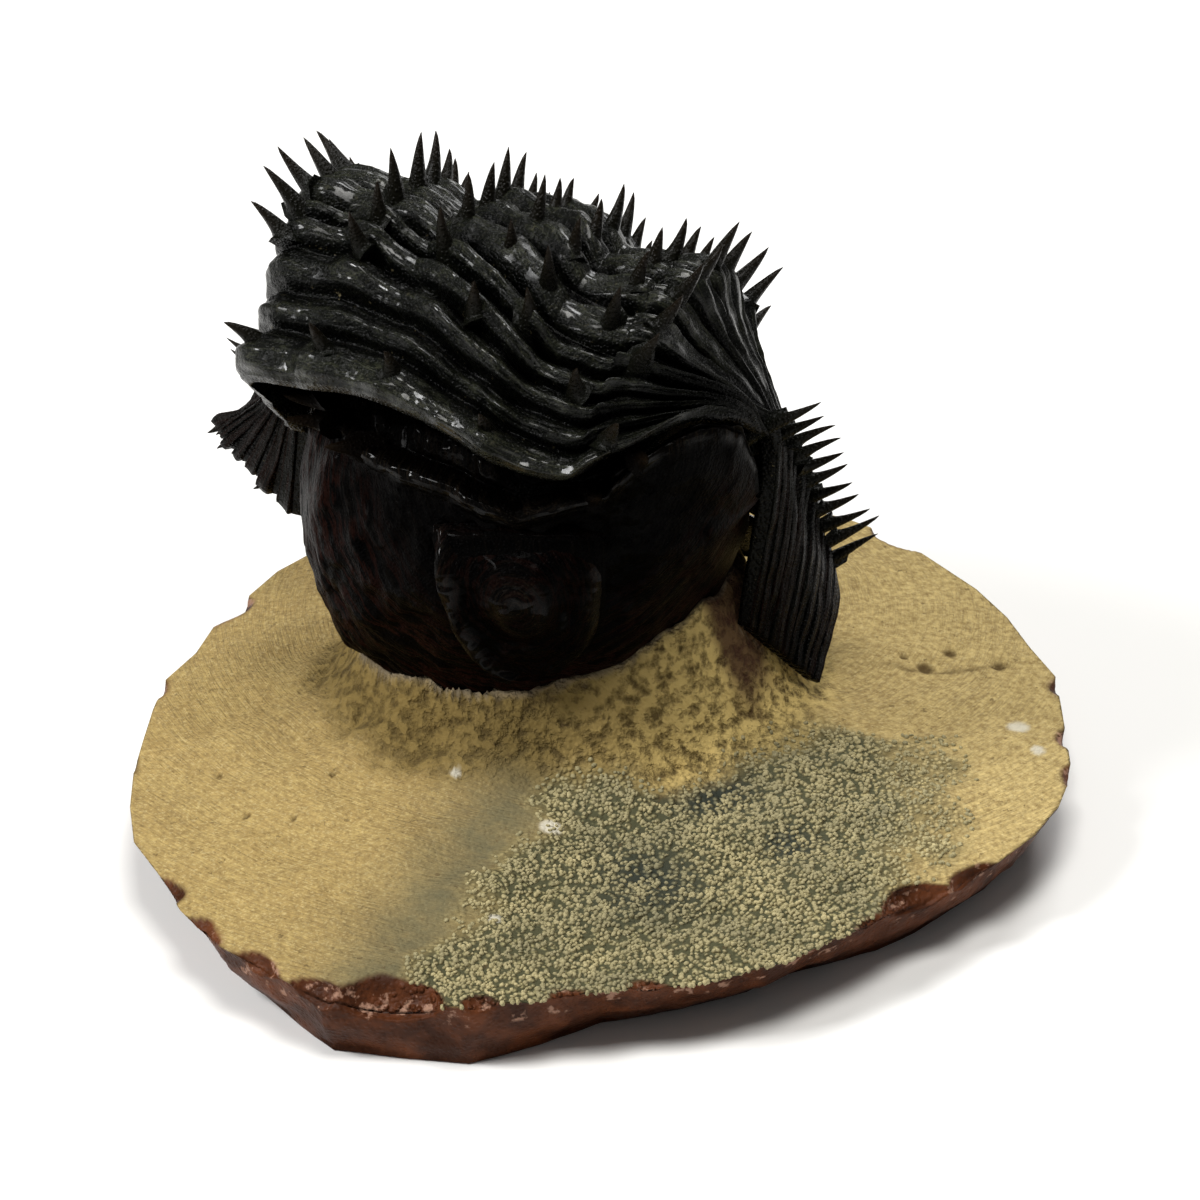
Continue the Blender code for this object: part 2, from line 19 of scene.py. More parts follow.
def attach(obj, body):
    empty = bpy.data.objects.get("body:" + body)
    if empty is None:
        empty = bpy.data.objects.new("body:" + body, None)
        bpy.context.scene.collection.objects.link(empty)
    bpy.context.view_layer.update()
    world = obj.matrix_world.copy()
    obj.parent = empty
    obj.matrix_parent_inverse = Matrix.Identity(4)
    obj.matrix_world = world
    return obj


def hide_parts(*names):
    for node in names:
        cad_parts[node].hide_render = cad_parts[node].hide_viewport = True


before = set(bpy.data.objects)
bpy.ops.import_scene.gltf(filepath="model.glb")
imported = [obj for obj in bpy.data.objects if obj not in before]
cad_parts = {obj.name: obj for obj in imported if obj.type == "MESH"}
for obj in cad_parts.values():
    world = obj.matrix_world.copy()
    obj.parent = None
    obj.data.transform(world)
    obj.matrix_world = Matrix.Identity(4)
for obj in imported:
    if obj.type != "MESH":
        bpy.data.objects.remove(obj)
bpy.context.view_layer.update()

# %% [markdown]
# ## Camera, floor and light
# The specimen is looked down on from about 31 degrees, with a long lens, so the rock's far rim is
# hardly smaller than its near one. Three square lamps keep the black shell readable: a broad one
# almost overhead, a smaller one from the left that fills the shadows, and one behind that draws
# bright lines along the ribs.

# %% Camera
LENS_MM = 400.0
SENSOR_MM = 36.0
VIEW_WIDTH = 0.150
ELEVATION = math.radians(31.1)
AIM = Vector((0.0, 0.0, 0.0302))
FAR_CLIP = 20.0

camera_data = bpy.data.cameras.new("camera")
camera_data.lens = LENS_MM
camera_data.sensor_width = SENSOR_MM
camera_data.clip_end = FAR_CLIP
camera = bpy.data.objects.new("camera", camera_data)
bpy.context.scene.collection.objects.link(camera)
away = VIEW_WIDTH * LENS_MM / SENSOR_MM
toward_camera = Vector((0.0, -math.cos(ELEVATION), math.sin(ELEVATION)))
camera.location = AIM + toward_camera * away
camera.rotation_mode = "QUATERNION"
camera.rotation_quaternion = (-toward_camera).to_track_quat("-Z", "Y")
bpy.context.scene.camera = camera
bpy.context.scene.view_settings.view_transform = "Standard"
print("camera:", round(away, 3), "m away")

# %% Floor and lamps
FLOOR_SIZE = 3.0
FLOOR_GAP = 0.0002
FLOOR_COLOUR = (0.86, 0.855, 0.84, 1.0)
FLOOR_ROUGHNESS = 0.9
AMBIENT = 0.15
WHITE = (1.0, 1.0, 1.0)
WARM_WHITE = (1.0, 0.985, 0.95)


def plain_material(name, colour, roughness):
    """A material of one colour."""
    made = bpy.data.materials.new(name)
    made.use_nodes = True
    shader = made.node_tree.nodes["Principled BSDF"]
    shader.inputs["Base Color"].default_value = colour
    shader.inputs["Roughness"].default_value = roughness
    return made


def lamp(name, place, size, watts, colour=WHITE):
    """A square area lamp that faces the specimen."""
    data = bpy.data.lights.new(name, "AREA")
    data.shape = "SQUARE"
    data.size = size
    data.energy = watts
    data.color = colour
    made = bpy.data.objects.new(name, data)
    bpy.context.scene.collection.objects.link(made)
    made.location = place
    made.rotation_mode = "QUATERNION"
    made.rotation_quaternion = (AIM - made.location).to_track_quat("-Z", "Y")
    return made


half = FLOOR_SIZE / 2.0
floor_mesh = bpy.data.meshes.new("floor")
floor_mesh.from_pydata(
    [(-half, -half, 0.0), (half, -half, 0.0), (half, half, 0.0), (-half, half, 0.0)], [], [(0, 1, 2, 3)]
)
floor = bpy.data.objects.new("floor", floor_mesh)
bpy.context.scene.collection.objects.link(floor)
floor.location.z = -FLOOR_GAP
floor_mesh.materials.append(plain_material("floor_paper", FLOOR_COLOUR, FLOOR_ROUGHNESS))

lamp("key_lamp", Vector((0.03, -0.15, 0.76)), size=0.30, watts=4.2, colour=WARM_WHITE)
lamp("fill_lamp", Vector((-0.52, -0.16, 0.50)), size=0.20, watts=4.6)
lamp("back_lamp", Vector((0.20, 0.50, 0.46)), size=0.26, watts=2.3)

world = bpy.data.worlds.new("studio")
bpy.context.scene.world = world
world.use_nodes = True
world.node_tree.nodes["Background"].inputs["Color"].default_value = (*WHITE, 1.0)
world.node_tree.nodes["Background"].inputs["Strength"].default_value = AMBIENT
print("stage: floor and 3 lamps")

# %% [markdown]
# ## The shape of the rolled-up body
# A trilobite's rib is a bent bar that runs from the left rib end, up over the back, and down to the
# right rib end. Stacked along the body, the ribs wrap round the line that the animal rolled about.
# So every point of the shell has three numbers: a station along the body (0 behind the head, 11 at
# the tail shield, 14 at its rim), a place across it (-1 left end to 1 right end), and a depth. One
# function turns these numbers into a point. The same rule made the plain solids, so all that follows
# sits exactly on them. Millimetres are used until a mesh is made.

# %% Sizes of the body
MM = 0.001
ROLL_CENTRE = np.array([-11.6, 10.3, 50.3])
YAW = math.radians(22.0)
ROLL = math.radians(6.0)
HALF_WIDTH = 35.6
# The back's radius by angle about the roll line: 0 degrees is the front and 90 is up.
RADIUS_ANGLES = (15.0, 60.0, 100.0, 140.0, 180.0, 232.0)
RADII = (30.5, 27.4, 24.2, 23.4, 26.0, 32.0)
INNER_RADIUS = 6.0
SEGMENTS = 11
TAIL_RIBS = 3
# The angle of each station.
STATION_ANGLES = ((0.0, 11.0, 14.0), (232.0, 60.0, 22.0))
# The back is pressed askew: extra degrees to the left and to the right of a place, by station.
SKEW_PLACE = 0.38
SKEW_STATIONS = (3.0, 9.0, 12.0, 14.0)
SKEW_LEFT = (0.0, 26.0, 26.0, 11.0)
SKEW_RIGHT = (0.0, 40.0, 75.0, 130.0)
SKEW_SPREAD = 0.5
# Where a rib's shoulders and tips lie, behind the head and at the tail. The left ones flare.
RIGHT_SHOULDER = (np.array([38.8, -20.0, -22.5]), np.array([34.4, -0.9, 8.1]))
RIGHT_TIP = (np.array([42.0, -8.7, -30.5]), np.array([34.6, -0.5, -19.7]))
LEFT_SHOULDER = (np.array([-37.4, -15.0, -16.0]), np.array([-29.7, -5.0, -5.0]))
LEFT_TIP = (np.array([-40.4, -14.8, -24.6]), np.array([-29.3, -6.6, -28.0]))
LEFT_FLARE = np.array([-6.8, 0.0, 4.0])
# Where the tail's rim ends, and how far it sags on the left: at most, and each knot's share.
RIM_RIGHT_END = np.array([33.2, 5.9, 13.3])
RIM_LEFT_END = np.array([-25.2, 9.0, -5.0])
RIM_LEFT_SAG = np.array([2.5, 0.0, -5.9])
SAG_SHARES = (0.95, 0.6, 0.2)
# How the inside of the shell draws in from the outside.
SHOULDER_DEPTH = 2.3
TIP_DEPTH = 1.6
INSIDE_NARROWER = 0.12
# The knots of a rib: their places, and how far out the middle seven lie, in half widths.
KNOT_PLACES = np.array([-1.0, -0.86, -0.7, -0.48, -0.26, 0.0, 0.26, 0.48, 0.7, 0.86, 1.0])
ARCH_OUT = (-0.83, -0.56, -0.3, 0.0, 0.26, 0.48, 0.62)
# How square the arch of a rib is: behind the head, how much less at the tail, more on the left.
HEAD_BOXY = 4.0
TAIL_LESS_BOXY = 1.7
LEFT_BOXY = 1.0
NORMAL_STEP = 0.02


def trilobite_axes(lean):
    """Columns: to the trilobite's right, to its front, and up, in world coordinates."""
    across = np.array([math.cos(YAW) * math.cos(lean), -math.sin(YAW) * math.cos(lean), -math.sin(lean)])
    front = np.array([-math.sin(YAW), -math.cos(YAW), 0.0])
    return np.column_stack([across, front, np.cross(front, across)])


BODY_AXES = trilobite_axes(ROLL)


def to_world(local):
    """From the trilobite's own frame, about the roll line, to world coordinates."""
    return ROLL_CENTRE + local @ BODY_AXES.T


# %% From station, place and depth to a point
def angle_at(station, place):
    """Angle about the roll line, in radians. The back is pressed askew, so it also varies with place."""
    straight = np.interp(station, *STATION_ANGLES)
    off = place - SKEW_PLACE
    left = np.interp(station, SKEW_STATIONS, SKEW_LEFT) * (1.0 - np.exp(-((off / SKEW_SPREAD) ** 2)))
    right = np.interp(station, SKEW_STATIONS, SKEW_RIGHT) * off * off
    return np.radians(straight + np.where(off < 0.0, left, right))


def rib_knots(station, depth):
    """Eleven points of a rib, left tip to right tip, for an array of stations."""
    share = np.clip(station / SEGMENTS, 0.0, 1.0)
    knots = np.zeros(station.shape + (len(KNOT_PLACES), 3))
    for index, (out, knot) in enumerate(zip(ARCH_OUT, KNOT_PLACES[2:-2]), start=2):
        angle = angle_at(station, knot)
        radius = np.interp(np.degrees(angle), RADIUS_ANGLES, RADII)
        boxy = HEAD_BOXY - TAIL_LESS_BOXY * share + (LEFT_BOXY if out < 0.0 else 0.0)
        outer = radius * (1.0 - abs(out) ** boxy) ** (1.0 / boxy)
        reach = outer + (INNER_RADIUS - outer) * depth
        knots[..., index, 0] = out * HALF_WIDTH * (1.0 - INSIDE_NARROWER * depth)
        knots[..., index, 1] = reach * np.cos(angle)
        knots[..., index, 2] = reach * np.sin(angle)
    blend = share[..., None]
    arc = 4.0 * blend * (1.0 - blend)
    past = (np.clip(station - SEGMENTS, 0.0, None) / TAIL_RIBS)[..., None]
    for index, sag in enumerate(SAG_SHARES, start=2):
        knots[..., index, :] += RIM_LEFT_SAG * sag * past**2 * (1.0 - depth[..., None])
    shoulders = ((1, LEFT_SHOULDER, RIM_LEFT_END), (9, RIGHT_SHOULDER, RIM_RIGHT_END))
    for index, (first, last), rim_end in shoulders:
        near = first + (last - first) * blend
        knots[..., index, :] = near + (rim_end - near) * past
    knots[..., 0, :] = LEFT_TIP[0] + (LEFT_TIP[1] - LEFT_TIP[0]) * blend + LEFT_FLARE * arc
    knots[..., 10, :] = RIGHT_TIP[0] + (RIGHT_TIP[1] - RIGHT_TIP[0]) * blend
    for index, thickness in ((0, TIP_DEPTH), (1, SHOULDER_DEPTH), (9, -SHOULDER_DEPTH), (10, -TIP_DEPTH)):
        knots[..., index, 0] += thickness * depth
    return knots


def skin(station, place, depth=0.0):
    """Points of the shell in the trilobite's frame: a smooth curve through each rib's knots."""
    station, place, depth = np.broadcast_arrays(
        np.asarray(station, float), np.asarray(place, float), np.asarray(depth, float)
    )
    knots = rib_knots(station, depth)
    index = np.clip(np.searchsorted(KNOT_PLACES, place, side="left") - 1, 0, len(KNOT_PLACES) - 2)
    span = (KNOT_PLACES[index + 1] - KNOT_PLACES[index])[..., None]
    part = (place[..., None] - KNOT_PLACES[index][..., None]) / span

    def knot(at):
        return np.take_along_axis(knots, at[..., None, None], axis=-2)[..., 0, :]

    def slope(at):
        before = np.maximum(at - 1, 0)
        after = np.minimum(at + 1, len(KNOT_PLACES) - 1)
        return (knot(after) - knot(before)) / (KNOT_PLACES[after] - KNOT_PLACES[before])[..., None]

    square = part * part
    cube = square * part
    return (
        (2.0 * cube - 3.0 * square + 1.0) * knot(index)
        + (cube - 2.0 * square + part) * span * slope(index)
        + (3.0 * square - 2.0 * cube) * knot(index + 1)
        + (cube - square) * span * slope(index + 1)
    )


def outward(station, place):
    """Unit normals of the shell, in the trilobite's frame."""
    step = NORMAL_STEP
    along = skin(station, np.minimum(place + step, 1.0)) - skin(station, np.maximum(place - step, -1.0))
    across = skin(station + step, place) - skin(station - step, place)
    normal = np.cross(along, across)
    return normal / np.linalg.norm(normal, axis=-1, keepdims=True)


top_of_back = to_world(skin(9.0, 0.0))
print("top of the back at", np.round(top_of_back, 1), "mm")

# %% [markdown]
# ## Helpers for surface relief
# Real shell is never smooth: it has grain, dents and fine ridges at several sizes. Relief is made by
# moving mesh points along their normals, because it then shows in the outline too. Two helpers do
# most of it: values joined by smooth steps, for profiles, and smooth lattice noise, for irregularity.

# %% Profiles and noise
def eased(at, stops, values):
    """Values at stops, joined by smooth steps."""
    stops = np.asarray(stops, float)
    values = np.asarray(values, float)
    index = np.clip(np.searchsorted(stops, at, side="right") - 1, 0, len(stops) - 2)
    part = np.clip((at - stops[index]) / (stops[index + 1] - stops[index]), 0.0, 1.0)
    part = part * part * (3.0 - 2.0 * part)
    return values[index] + (values[index + 1] - values[index]) * part


def soft_step(value, low, high):
    """Rises smoothly from 0 at low to 1 at high."""
    part = np.clip((value - low) / (high - low), 0.0, 1.0)
    return part * part * (3.0 - 2.0 * part)


def bump(distance, width):
    """A soft bell, 1 in the middle."""
    return np.exp(-((distance / width) ** 2))


def hashed(cell, seed):
    """A repeatable number from -1 to 1 for each whole-number cell."""
    mixed = cell[..., 0] * 73856093 ^ cell[..., 1] * 19349663 ^ cell[..., 2] * 83492791 ^ seed * 2654435
    mixed = (mixed ^ (mixed >> 13)) * 1274126177
    mixed = mixed ^ (mixed >> 16)
    return (mixed & 0xFFFF) / 32767.5 - 1.0


def noise(points, size, seed):
    """Smooth noise from -1 to 1 with features of about the given size."""
    scaled = np.asarray(points) / size
    base = np.floor(scaled).astype(np.int64)
    part = scaled - base
    part = part * part * (3.0 - 2.0 * part)
    total = np.zeros(scaled.shape[:-1])
    for corner in np.ndindex(2, 2, 2):
        weight = np.ones(scaled.shape[:-1])
        for axis in range(3):
            weight = weight * (part[..., axis] if corner[axis] else 1.0 - part[..., axis])
        total += weight * hashed(base + np.array(corner), seed)
    return total


def rough(points, size, seed, layers=3):
    """Noise of several sizes, each half the one before."""
    return sum(noise(points, size / 2**layer, seed + layer) / 2**layer for layer in range(layers))


print("noise check:", np.round(noise(np.array([[0.5, 0.5, 0.5], [3.2, 1.1, 0.4]]), 1.0, 3), 3))

# %% [markdown]
# ## Thorns
# Each plate carries thorns that stand in rows. They repeat with small changes, so one Geometry Nodes
# tree makes them: a tapered, slightly bowed cone is placed on every point of a small point cloud.
# The cloud says for each thorn which way it aims, how far it reaches and how thick it is. The tree
# also stores how close to the tip each point is, because the tips are a darker brown.

# %% Helpers for node trees
def new_node(tree, kind, **values):
    """Adds a node and sets its own values."""
    made = tree.nodes.new(kind)
    for key, value in values.items():
        setattr(made, key, value)
    return made


def give(tree, value, socket):
    """Links a socket to another one, or sets it to a plain value."""
    if isinstance(value, bpy.types.NodeSocket):
        tree.links.new(value, socket)
    else:
        socket.default_value = value


def math_node(tree, operation, first, second, clamped=False):
    """A math node whose inputs are links or numbers."""
    made = new_node(tree, "ShaderNodeMath", operation=operation, use_clamp=clamped)
    for socket, value in zip(made.inputs, (first, second)):
        give(tree, value, socket)
    return made.outputs[0]


def named_value(tree, name, kind):
    """A value that the points carry."""
    made = new_node(tree, "GeometryNodeInputNamedAttribute", data_type=kind)
    made.inputs["Name"].default_value = name
    return made.outputs["Attribute"]


def random_value(tree, kind, low, high, seed):
    """A random number or vector for each point, from low to high, which are links or plain values."""
    made = new_node(tree, "FunctionNodeRandomValue", data_type=kind)
    wanted = "VALUE" if kind == "FLOAT" else "VECTOR"
    ends = [socket for socket in made.inputs if socket.type == wanted and socket.enabled]
    for socket, value in zip(ends, (low, high)):
        give(tree, value, socket)
    tree.links.new(seed, made.inputs["Seed"])
    return next(socket for socket in made.outputs if socket.enabled)


def modifier_tree(name, sizes):
    """A Geometry Nodes tree with named sizes, a seed and a material. Returns it and its input node."""
    tree = bpy.data.node_groups.new(name, "GeometryNodeTree")
    tree.is_modifier = True
    face = tree.interface
    face.new_socket("Geometry", in_out="INPUT", socket_type="NodeSocketGeometry")
    for title, start in sizes:
        face.new_socket(title, in_out="INPUT", socket_type="NodeSocketFloat").default_value = start
    face.new_socket("Seed", in_out="INPUT", socket_type="NodeSocketInt")
    face.new_socket("Material", in_out="INPUT", socket_type="NodeSocketMaterial")
    face.new_socket("Geometry", in_out="OUTPUT", socket_type="NodeSocketGeometry")
    return tree, new_node(tree, "NodeGroupInput")


def place_copies(tree, given, points, shape, rotation, scale):
    """Ends a tree: the shape on every point, made real, with the given material."""
    placed = new_node(tree, "GeometryNodeInstanceOnPoints")
    for title, value in (("Points", points), ("Instance", shape), ("Rotation", rotation), ("Scale", scale)):
        tree.links.new(value, placed.inputs[title])
    real = new_node(tree, "GeometryNodeRealizeInstances")
    tree.links.new(placed.outputs[0], real.inputs[0])
    dressed = new_node(tree, "GeometryNodeSetMaterial")
    tree.links.new(real.outputs[0], dressed.inputs["Geometry"])
    tree.links.new(given.outputs["Material"], dressed.inputs["Material"])
    tree.links.new(dressed.outputs[0], new_node(tree, "NodeGroupOutput").inputs[0])


# %% The thorn tree
THORN_SIDES = 9
THORN_RINGS = 9
THORN_POINT = 0.03
FLARE_POWER = 9.0


def thorn_cone(tree, given):
    """A cone of height 1 and foot radius 1 that bows to one side and flares at its foot."""
    link = tree.links.new
    line = new_node(tree, "GeometryNodeCurvePrimitiveLine")
    line.inputs["End"].default_value = (0.0, 0.0, 1.0)
    rings = new_node(tree, "GeometryNodeResampleCurve")
    rings.inputs["Count"].default_value = THORN_RINGS
    link(line.outputs[0], rings.inputs["Curve"])
    along = new_node(tree, "GeometryNodeSplineParameter").outputs["Factor"]
    kept = new_node(tree, "GeometryNodeStoreNamedAttribute", data_type="FLOAT", domain="POINT")
    kept.inputs["Name"].default_value = "tip"
    link(rings.outputs[0], kept.inputs["Geometry"])
    link(along, kept.inputs["Value"])
    rest = math_node(tree, "SUBTRACT", 1.0, along)
    arch = math_node(tree, "MULTIPLY", math_node(tree, "MULTIPLY", rest, along), 4.0)
    shift = new_node(tree, "ShaderNodeCombineXYZ")
    link(math_node(tree, "MULTIPLY", arch, given.outputs["Bow"]), shift.inputs["X"])
    bowed = new_node(tree, "GeometryNodeSetPosition")
    link(kept.outputs[0], bowed.inputs["Geometry"])
    link(shift.outputs[0], bowed.inputs["Offset"])
    taper = math_node(tree, "POWER", math_node(tree, "MAXIMUM", rest, 0.0), given.outputs["Taper"])
    foot = math_node(tree, "MULTIPLY", math_node(tree, "POWER", rest, FLARE_POWER), given.outputs["Flare"])
    radius = math_node(tree, "ADD", math_node(tree, "ADD", taper, foot), THORN_POINT)
    circle = new_node(tree, "GeometryNodeCurvePrimitiveCircle", mode="RADIUS")
    circle.inputs["Resolution"].default_value = THORN_SIDES
    circle.inputs["Radius"].default_value = 1.0
    cone = new_node(tree, "GeometryNodeCurveToMesh")
    cone.inputs["Fill Caps"].default_value = True
    link(circle.outputs[0], cone.inputs["Profile Curve"])
    link(bowed.outputs[0], cone.inputs["Curve"])
    link(radius, cone.inputs["Scale"])
    return cone.outputs[0]


def thorn_turns(tree, given):
    """Aims each thorn along its stored direction and turns it at random about that direction."""
    link = tree.links.new
    aimed = new_node(tree, "FunctionNodeAlignRotationToVector", axis="Z")
    link(named_value(tree, "aim", "FLOAT_VECTOR"), aimed.inputs["Vector"])
    twist = new_node(tree, "FunctionNodeAxisAngleToRotation")
    twist.inputs["Axis"].default_value = (0.0, 0.0, 1.0)
    link(random_value(tree, "FLOAT", 0.0, math.tau, given.outputs["Seed"]), twist.inputs["Angle"])
    turned = new_node(tree, "FunctionNodeRotateRotation", rotation_space="LOCAL")
    link(aimed.outputs[0], turned.inputs["Rotation"])
    link(twist.outputs[0], turned.inputs["Rotate By"])
    return turned.outputs[0]


def build_thorn_tree():
    """Grows a thorn on every point, along its aim and as long and thick as its reach and girth."""
    tree, given = modifier_tree("thorns", (("Taper", 0.85), ("Bow", 0.05), ("Flare", 0.5)))
    cone = thorn_cone(tree, given)
    turns = thorn_turns(tree, given)
    sizes = new_node(tree, "ShaderNodeCombineXYZ")
    girth = named_value(tree, "girth", "FLOAT")
    for axis, size in (("X", girth), ("Y", girth), ("Z", named_value(tree, "reach", "FLOAT"))):
        tree.links.new(size, sizes.inputs[axis])
    place_copies(tree, given, given.outputs["Geometry"], cone, turns, sizes.outputs[0])
    return tree


thorn_tree = build_thorn_tree()
print("thorn tree:", len(thorn_tree.nodes), "nodes")


# %% Growing thorns from a point cloud
def evaluated_copy(points_object, tree, inputs):
    """Runs a node tree on an object and returns the result as a plain mesh."""
    modifier = points_object.modifiers.new("made", "NODES")
    modifier.node_group = tree
    for item in tree.interface.items_tree:
        if item.in_out == "INPUT" and item.name in inputs:
            modifier[item.identifier] = inputs[item.name]
    points_object.update_tag()
    bpy.context.view_layer.update()
    graph = bpy.context.evaluated_depsgraph_get()
    made = bpy.data.meshes.new_from_object(points_object.evaluated_get(graph))
    bpy.data.objects.remove(points_object)
    return made


def store(data, values):
    """Puts named numbers or vectors on a mesh's points."""
    for key, numbers in values.items():
        numbers = np.asarray(numbers, dtype=np.float32).ravel()
        one_each = numbers.size == len(data.vertices)
        kind, field = ("FLOAT", "value") if one_each else ("FLOAT_VECTOR", "vector")
        data.attributes.new(key, kind, "POINT").data.foreach_set(field, numbers)


def point_cloud(name, points, values):
    """Loose points, in millimetres, with named values on them."""
    data = bpy.data.meshes.new(name)
    data.from_pydata([tuple(point) for point in np.asarray(points) * MM], [], [])
    store(data, values)
    made = bpy.data.objects.new(name, data)
    bpy.context.scene.collection.objects.link(made)
    return made


THORN_SHAPE = {"Taper": 0.85, "Bow": 0.1, "Flare": 0.3}


def thorn_mesh(name, thorns, material, seed):
    """thorns: foot, aim, reach and girth of each, in millimetres and world coordinates."""
    feet = [thorn[0] for thorn in thorns]
    values = {
        "aim": [thorn[1] for thorn in thorns],
        "reach": [thorn[2] * MM for thorn in thorns],
        "girth": [thorn[3] * MM for thorn in thorns],
    }
    cloud = point_cloud(name, feet, values)
    return evaluated_copy(cloud, thorn_tree, {**THORN_SHAPE, "Seed": seed, "Material": material})


# %% [markdown]
# ## Finishes
# The shell turned to nearly black calcite: semi-gloss, a little greener on the worn ridges, a dark
# brown at the thorn tips, with rock dust left in the furrows. Its fine pale lines are partly painted
# highlight, and its red-brown sides are partly a painted reddish reflection. The bowl is painted far
# darker than the ribs, as painted shade, with painted highlight along its lip. The limestone is tan
# where it was ground, grey where it was only blasted, and dark red-brown where it broke; painted light
# makes its right side and the pedestal's right side paler. Three effects serve both, so each is a
# shader group: patches, streaks along a direction stored on the piece, and grit.
# Meshes store their masks (ridge, dust, grey, broken and so on) as attributes.

# %% Shader groups
def shader_group(name, inputs, outputs):
    """An empty shader group with named sockets. Returns the group, its input and its output node."""
    tree = bpy.data.node_groups.new(name, "ShaderNodeTree")
    for title, kind, start in inputs:
        socket = tree.interface.new_socket(title, in_out="INPUT", socket_type="NodeSocket" + kind)
        socket.default_value = start
    for title, kind in outputs:
        tree.interface.new_socket(title, in_out="OUTPUT", socket_type="NodeSocket" + kind)
    return tree, new_node(tree, "NodeGroupInput"), new_node(tree, "NodeGroupOutput")


def ranged(tree, value, low, high, to_low, to_high):
    """Maps the range from low to high to a new one with soft ends."""
    made = new_node(tree, "ShaderNodeMapRange", interpolation_type="SMOOTHSTEP")
    made.inputs["From Min"].default_value = low
    made.inputs["From Max"].default_value = high
    made.inputs["To Min"].default_value = to_low
    made.inputs["To Max"].default_value = to_high
    tree.links.new(value, made.inputs["Value"])
    return made.outputs["Result"]


def noise_node(tree, vector, scale, detail=4.0, roughness=0.6):
    """Noise texture; vector is a link, scale a link or a number. Returns its value from 0 to 1."""
    made = new_node(tree, "ShaderNodeTexNoise")
    made.inputs["Detail"].default_value = detail
    made.inputs["Roughness"].default_value = roughness
    tree.links.new(vector, made.inputs["Vector"])
    give(tree, scale, made.inputs["Scale"])
    return made.outputs["Fac"]


def build_patches():
    """Soft-edged patches. Size is in metres; Cover is the share that they cover."""
    tree, given, out = shader_group(
        "patches",
        (("Vector", "Vector", (0, 0, 0)), ("Size", "Float", 0.01), ("Cover", "Float", 0.5),
         ("Softness", "Float", 0.1)),
        (("Mask", "Float"),),
    )
    scale = math_node(tree, "DIVIDE", 1.0, given.outputs["Size"])
    value = noise_node(tree, given.outputs["Vector"], scale)
    edge = math_node(tree, "SUBTRACT", 1.0, given.outputs["Cover"])
    over = math_node(tree, "SUBTRACT", value, edge)
    soft = math_node(tree, "DIVIDE", over, given.outputs["Softness"])
    tree.links.new(math_node(tree, "ADD", soft, 0.5, clamped=True), out.inputs["Mask"])
    return tree


def build_streaks():
    """Thin lines along the piece's own run. Run's x goes along the lines and y across, in millimetres."""
    tree, given, out = shader_group(
        "streaks",
        (("Run", "Vector", (0, 0, 0)), ("Spacing", "Float", 1.0), ("Length", "Float", 12.0),
         ("Thinness", "Float", 0.04)),
        (("Mask", "Float"), ("Height", "Float")),
    )
    parts = new_node(tree, "ShaderNodeSeparateXYZ")
    tree.links.new(given.outputs["Run"], parts.inputs[0])
    stretched = new_node(tree, "ShaderNodeCombineXYZ")
    for axis, size in (("X", "Length"), ("Y", "Spacing")):
        shorter = math_node(tree, "DIVIDE", parts.outputs[axis], given.outputs[size])
        tree.links.new(shorter, stretched.inputs[axis])
    tree.links.new(parts.outputs["Z"], stretched.inputs["Z"])
    value = noise_node(tree, stretched.outputs[0], 1.0, detail=3.0, roughness=0.65)
    off = math_node(tree, "ABSOLUTE", math_node(tree, "SUBTRACT", value, 0.5), 0.0)
    off = math_node(tree, "DIVIDE", off, given.outputs["Thinness"])
    tree.links.new(math_node(tree, "SUBTRACT", 1.0, off, clamped=True), out.inputs["Mask"])
    tree.links.new(value, out.inputs["Height"])
    return tree


def build_grit():
    """Grains and the pits between them. Size is in metres."""
    tree, given, out = shader_group(
        "grit",
        (("Vector", "Vector", (0, 0, 0)), ("Size", "Float", 0.0006)),
        (("Height", "Float"), ("Grains", "Float")),
    )
    scale = math_node(tree, "DIVIDE", 1.0, given.outputs["Size"])
    cells = new_node(tree, "ShaderNodeTexVoronoi", feature="F1")
    tree.links.new(given.outputs["Vector"], cells.inputs["Vector"])
    tree.links.new(scale, cells.inputs["Scale"])
    fine = noise_node(tree, given.outputs["Vector"], scale, detail=5.0, roughness=0.7)
    grains = ranged(tree, cells.outputs["Distance"], 0.15, 0.6, 1.0, 0.0)
    shares = [math_node(tree, "MULTIPLY", value, 0.6) for value in (grains, fine)]
    tree.links.new(math_node(tree, "ADD", *shares), out.inputs["Height"])
    tree.links.new(grains, out.inputs["Grains"])
    return tree


patches = build_patches()
streaks = build_streaks()
grit = build_grit()
print("shader groups: patches, streaks, grit")


